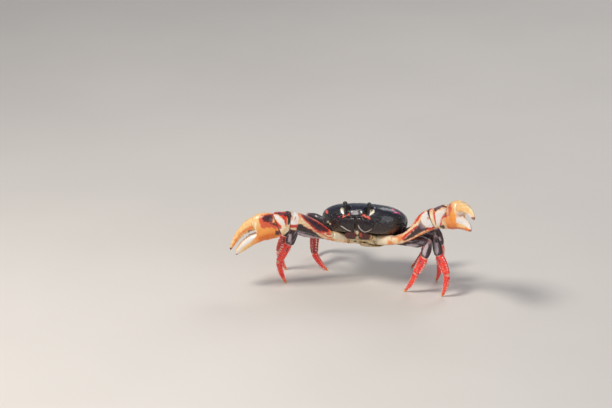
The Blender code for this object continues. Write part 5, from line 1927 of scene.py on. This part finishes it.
class CrabStage(bpy.types.PropertyGroup):
    floor: shade("Floor", "Colour of the plain floor", "dcd6cf")
    light: FloatProperty(name="Light", description="Strength of the studio lights",
                         default=1.0, min=0.0, max=5.0, subtype="FACTOR")
    lens: FloatProperty(name="Lens", description="Focal length of the camera in millimetres",
                        default=LENS, min=20.0, max=400.0, unit="CAMERA")


class CRAB_OT_carapace(bpy.types.Operator):
    """Make the carapace with its sockets, front lobe and granules"""
    bl_idname = "crab.carapace"
    bl_label = "Carapace"

    def execute(self, context):
        make_carapace(context.scene.crab_colours, context.scene.crab_sizes)
        return {"FINISHED"}


class CRAB_OT_sternum(bpy.types.Operator):
    """Make the sternum with the ten coxae"""
    bl_idname = "crab.sternum"
    bl_label = "Sternum"

    def execute(self, context):
        make_sternum(context.scene.crab_colours)
        return {"FINISHED"}


class CRAB_OT_abdomen(bpy.types.Operator):
    """Make the folded tail plates"""
    bl_idname = "crab.abdomen"
    bl_label = "Abdomen"

    def execute(self, context):
        make_abdomen(context.scene.crab_colours)
        return {"FINISHED"}


class CRAB_OT_mouth(bpy.types.Operator):
    """Make the mouth plates, the jaw and their bristles"""
    bl_idname = "crab.mouth"
    bl_label = "Mouth"

    def execute(self, context):
        make_mouth(context.scene.crab_colours)
        return {"FINISHED"}


class CRAB_OT_eyes(bpy.types.Operator):
    """Make the eyes, their stalks and the antennae"""
    bl_idname = "crab.eyes"
    bl_label = "Eyes"

    def execute(self, context):
        make_eyes()
        return {"FINISHED"}


class CRAB_OT_legs(bpy.types.Operator):
    """Make the segments of the eight walking legs"""
    bl_idname = "crab.legs"
    bl_label = "Legs"

    def execute(self, context):
        make_legs(context.scene.crab_colours, context.scene.crab_sizes)
        return {"FINISHED"}


class CRAB_OT_spines(bpy.types.Operator):
    """Make the spines of the lower legs"""
    bl_idname = "crab.spines"
    bl_label = "Leg spines"

    def execute(self, context):
        make_leg_spines(context.scene.crab_colours, context.scene.crab_sizes)
        return {"FINISHED"}


class CRAB_OT_joints(bpy.types.Operator):
    """Make the soft skin between the segments"""
    bl_idname = "crab.joints"
    bl_label = "Joint skins"

    def execute(self, context):
        make_joint_skins(context.scene.crab_colours)
        return {"FINISHED"}


class CRAB_OT_arms(bpy.types.Operator):
    """Make the arms that carry the claws"""
    bl_idname = "crab.arms"
    bl_label = "Arms"

    def execute(self, context):
        make_arms(context.scene.crab_colours, context.scene.crab_sizes)
        return {"FINISHED"}


class CRAB_OT_claws(bpy.types.Operator):
    """Make the palms, fingers and teeth of both claws"""
    bl_idname = "crab.claws"
    bl_label = "Claws"

    def execute(self, context):
        make_claws(context.scene.crab_colours, context.scene.crab_sizes)
        return {"FINISHED"}


class CRAB_OT_stage(bpy.types.Operator):
    """Make the floor, the lights and the camera"""
    bl_idname = "crab.stage"
    bl_label = "Stage"

    def execute(self, context):
        make_stage(context.scene.crab_stage)
        return {"FINISHED"}


OPERATORS = (CRAB_OT_carapace, CRAB_OT_sternum, CRAB_OT_abdomen, CRAB_OT_mouth, CRAB_OT_eyes,
             CRAB_OT_legs, CRAB_OT_spines, CRAB_OT_joints, CRAB_OT_arms, CRAB_OT_claws,
             CRAB_OT_stage)


class CRAB_PT_panel(bpy.types.Panel):
    bl_idname = "CRAB_PT_panel"
    bl_label = "Purple land crab"
    bl_space_type = "VIEW_3D"
    bl_region_type = "UI"
    bl_category = "Crab"

    def draw(self, context):
        for group in (context.scene.crab_sizes, context.scene.crab_colours,
                      context.scene.crab_stage):
            box = self.layout.box()
            for name in group.__annotations__:
                box.prop(group, name)
        for operator in OPERATORS:
            self.layout.operator(operator.bl_idname)


GROUPS = {"crab_colours": CrabColours, "crab_sizes": CrabSizes, "crab_stage": CrabStage}
CLASSES = tuple(GROUPS.values()) + OPERATORS + (CRAB_PT_panel,)


def register():
    for made in CLASSES:
        bpy.utils.register_class(made)
    for name, group in GROUPS.items():
        setattr(bpy.types.Scene, name, PointerProperty(type=group))


def unregister():
    for name in GROUPS:
        delattr(bpy.types.Scene, name)
    for made in reversed(CLASSES):
        bpy.utils.unregister_class(made)


def main():
    register()
    bpy.ops.crab.carapace()
    bpy.ops.crab.sternum()
    bpy.ops.crab.abdomen()
    bpy.ops.crab.mouth()
    bpy.ops.crab.eyes()
    bpy.ops.crab.legs()
    bpy.ops.crab.spines()
    bpy.ops.crab.joints()
    bpy.ops.crab.arms()
    bpy.ops.crab.claws()
    bpy.ops.crab.stage()


if __name__ == "__main__":
    main()
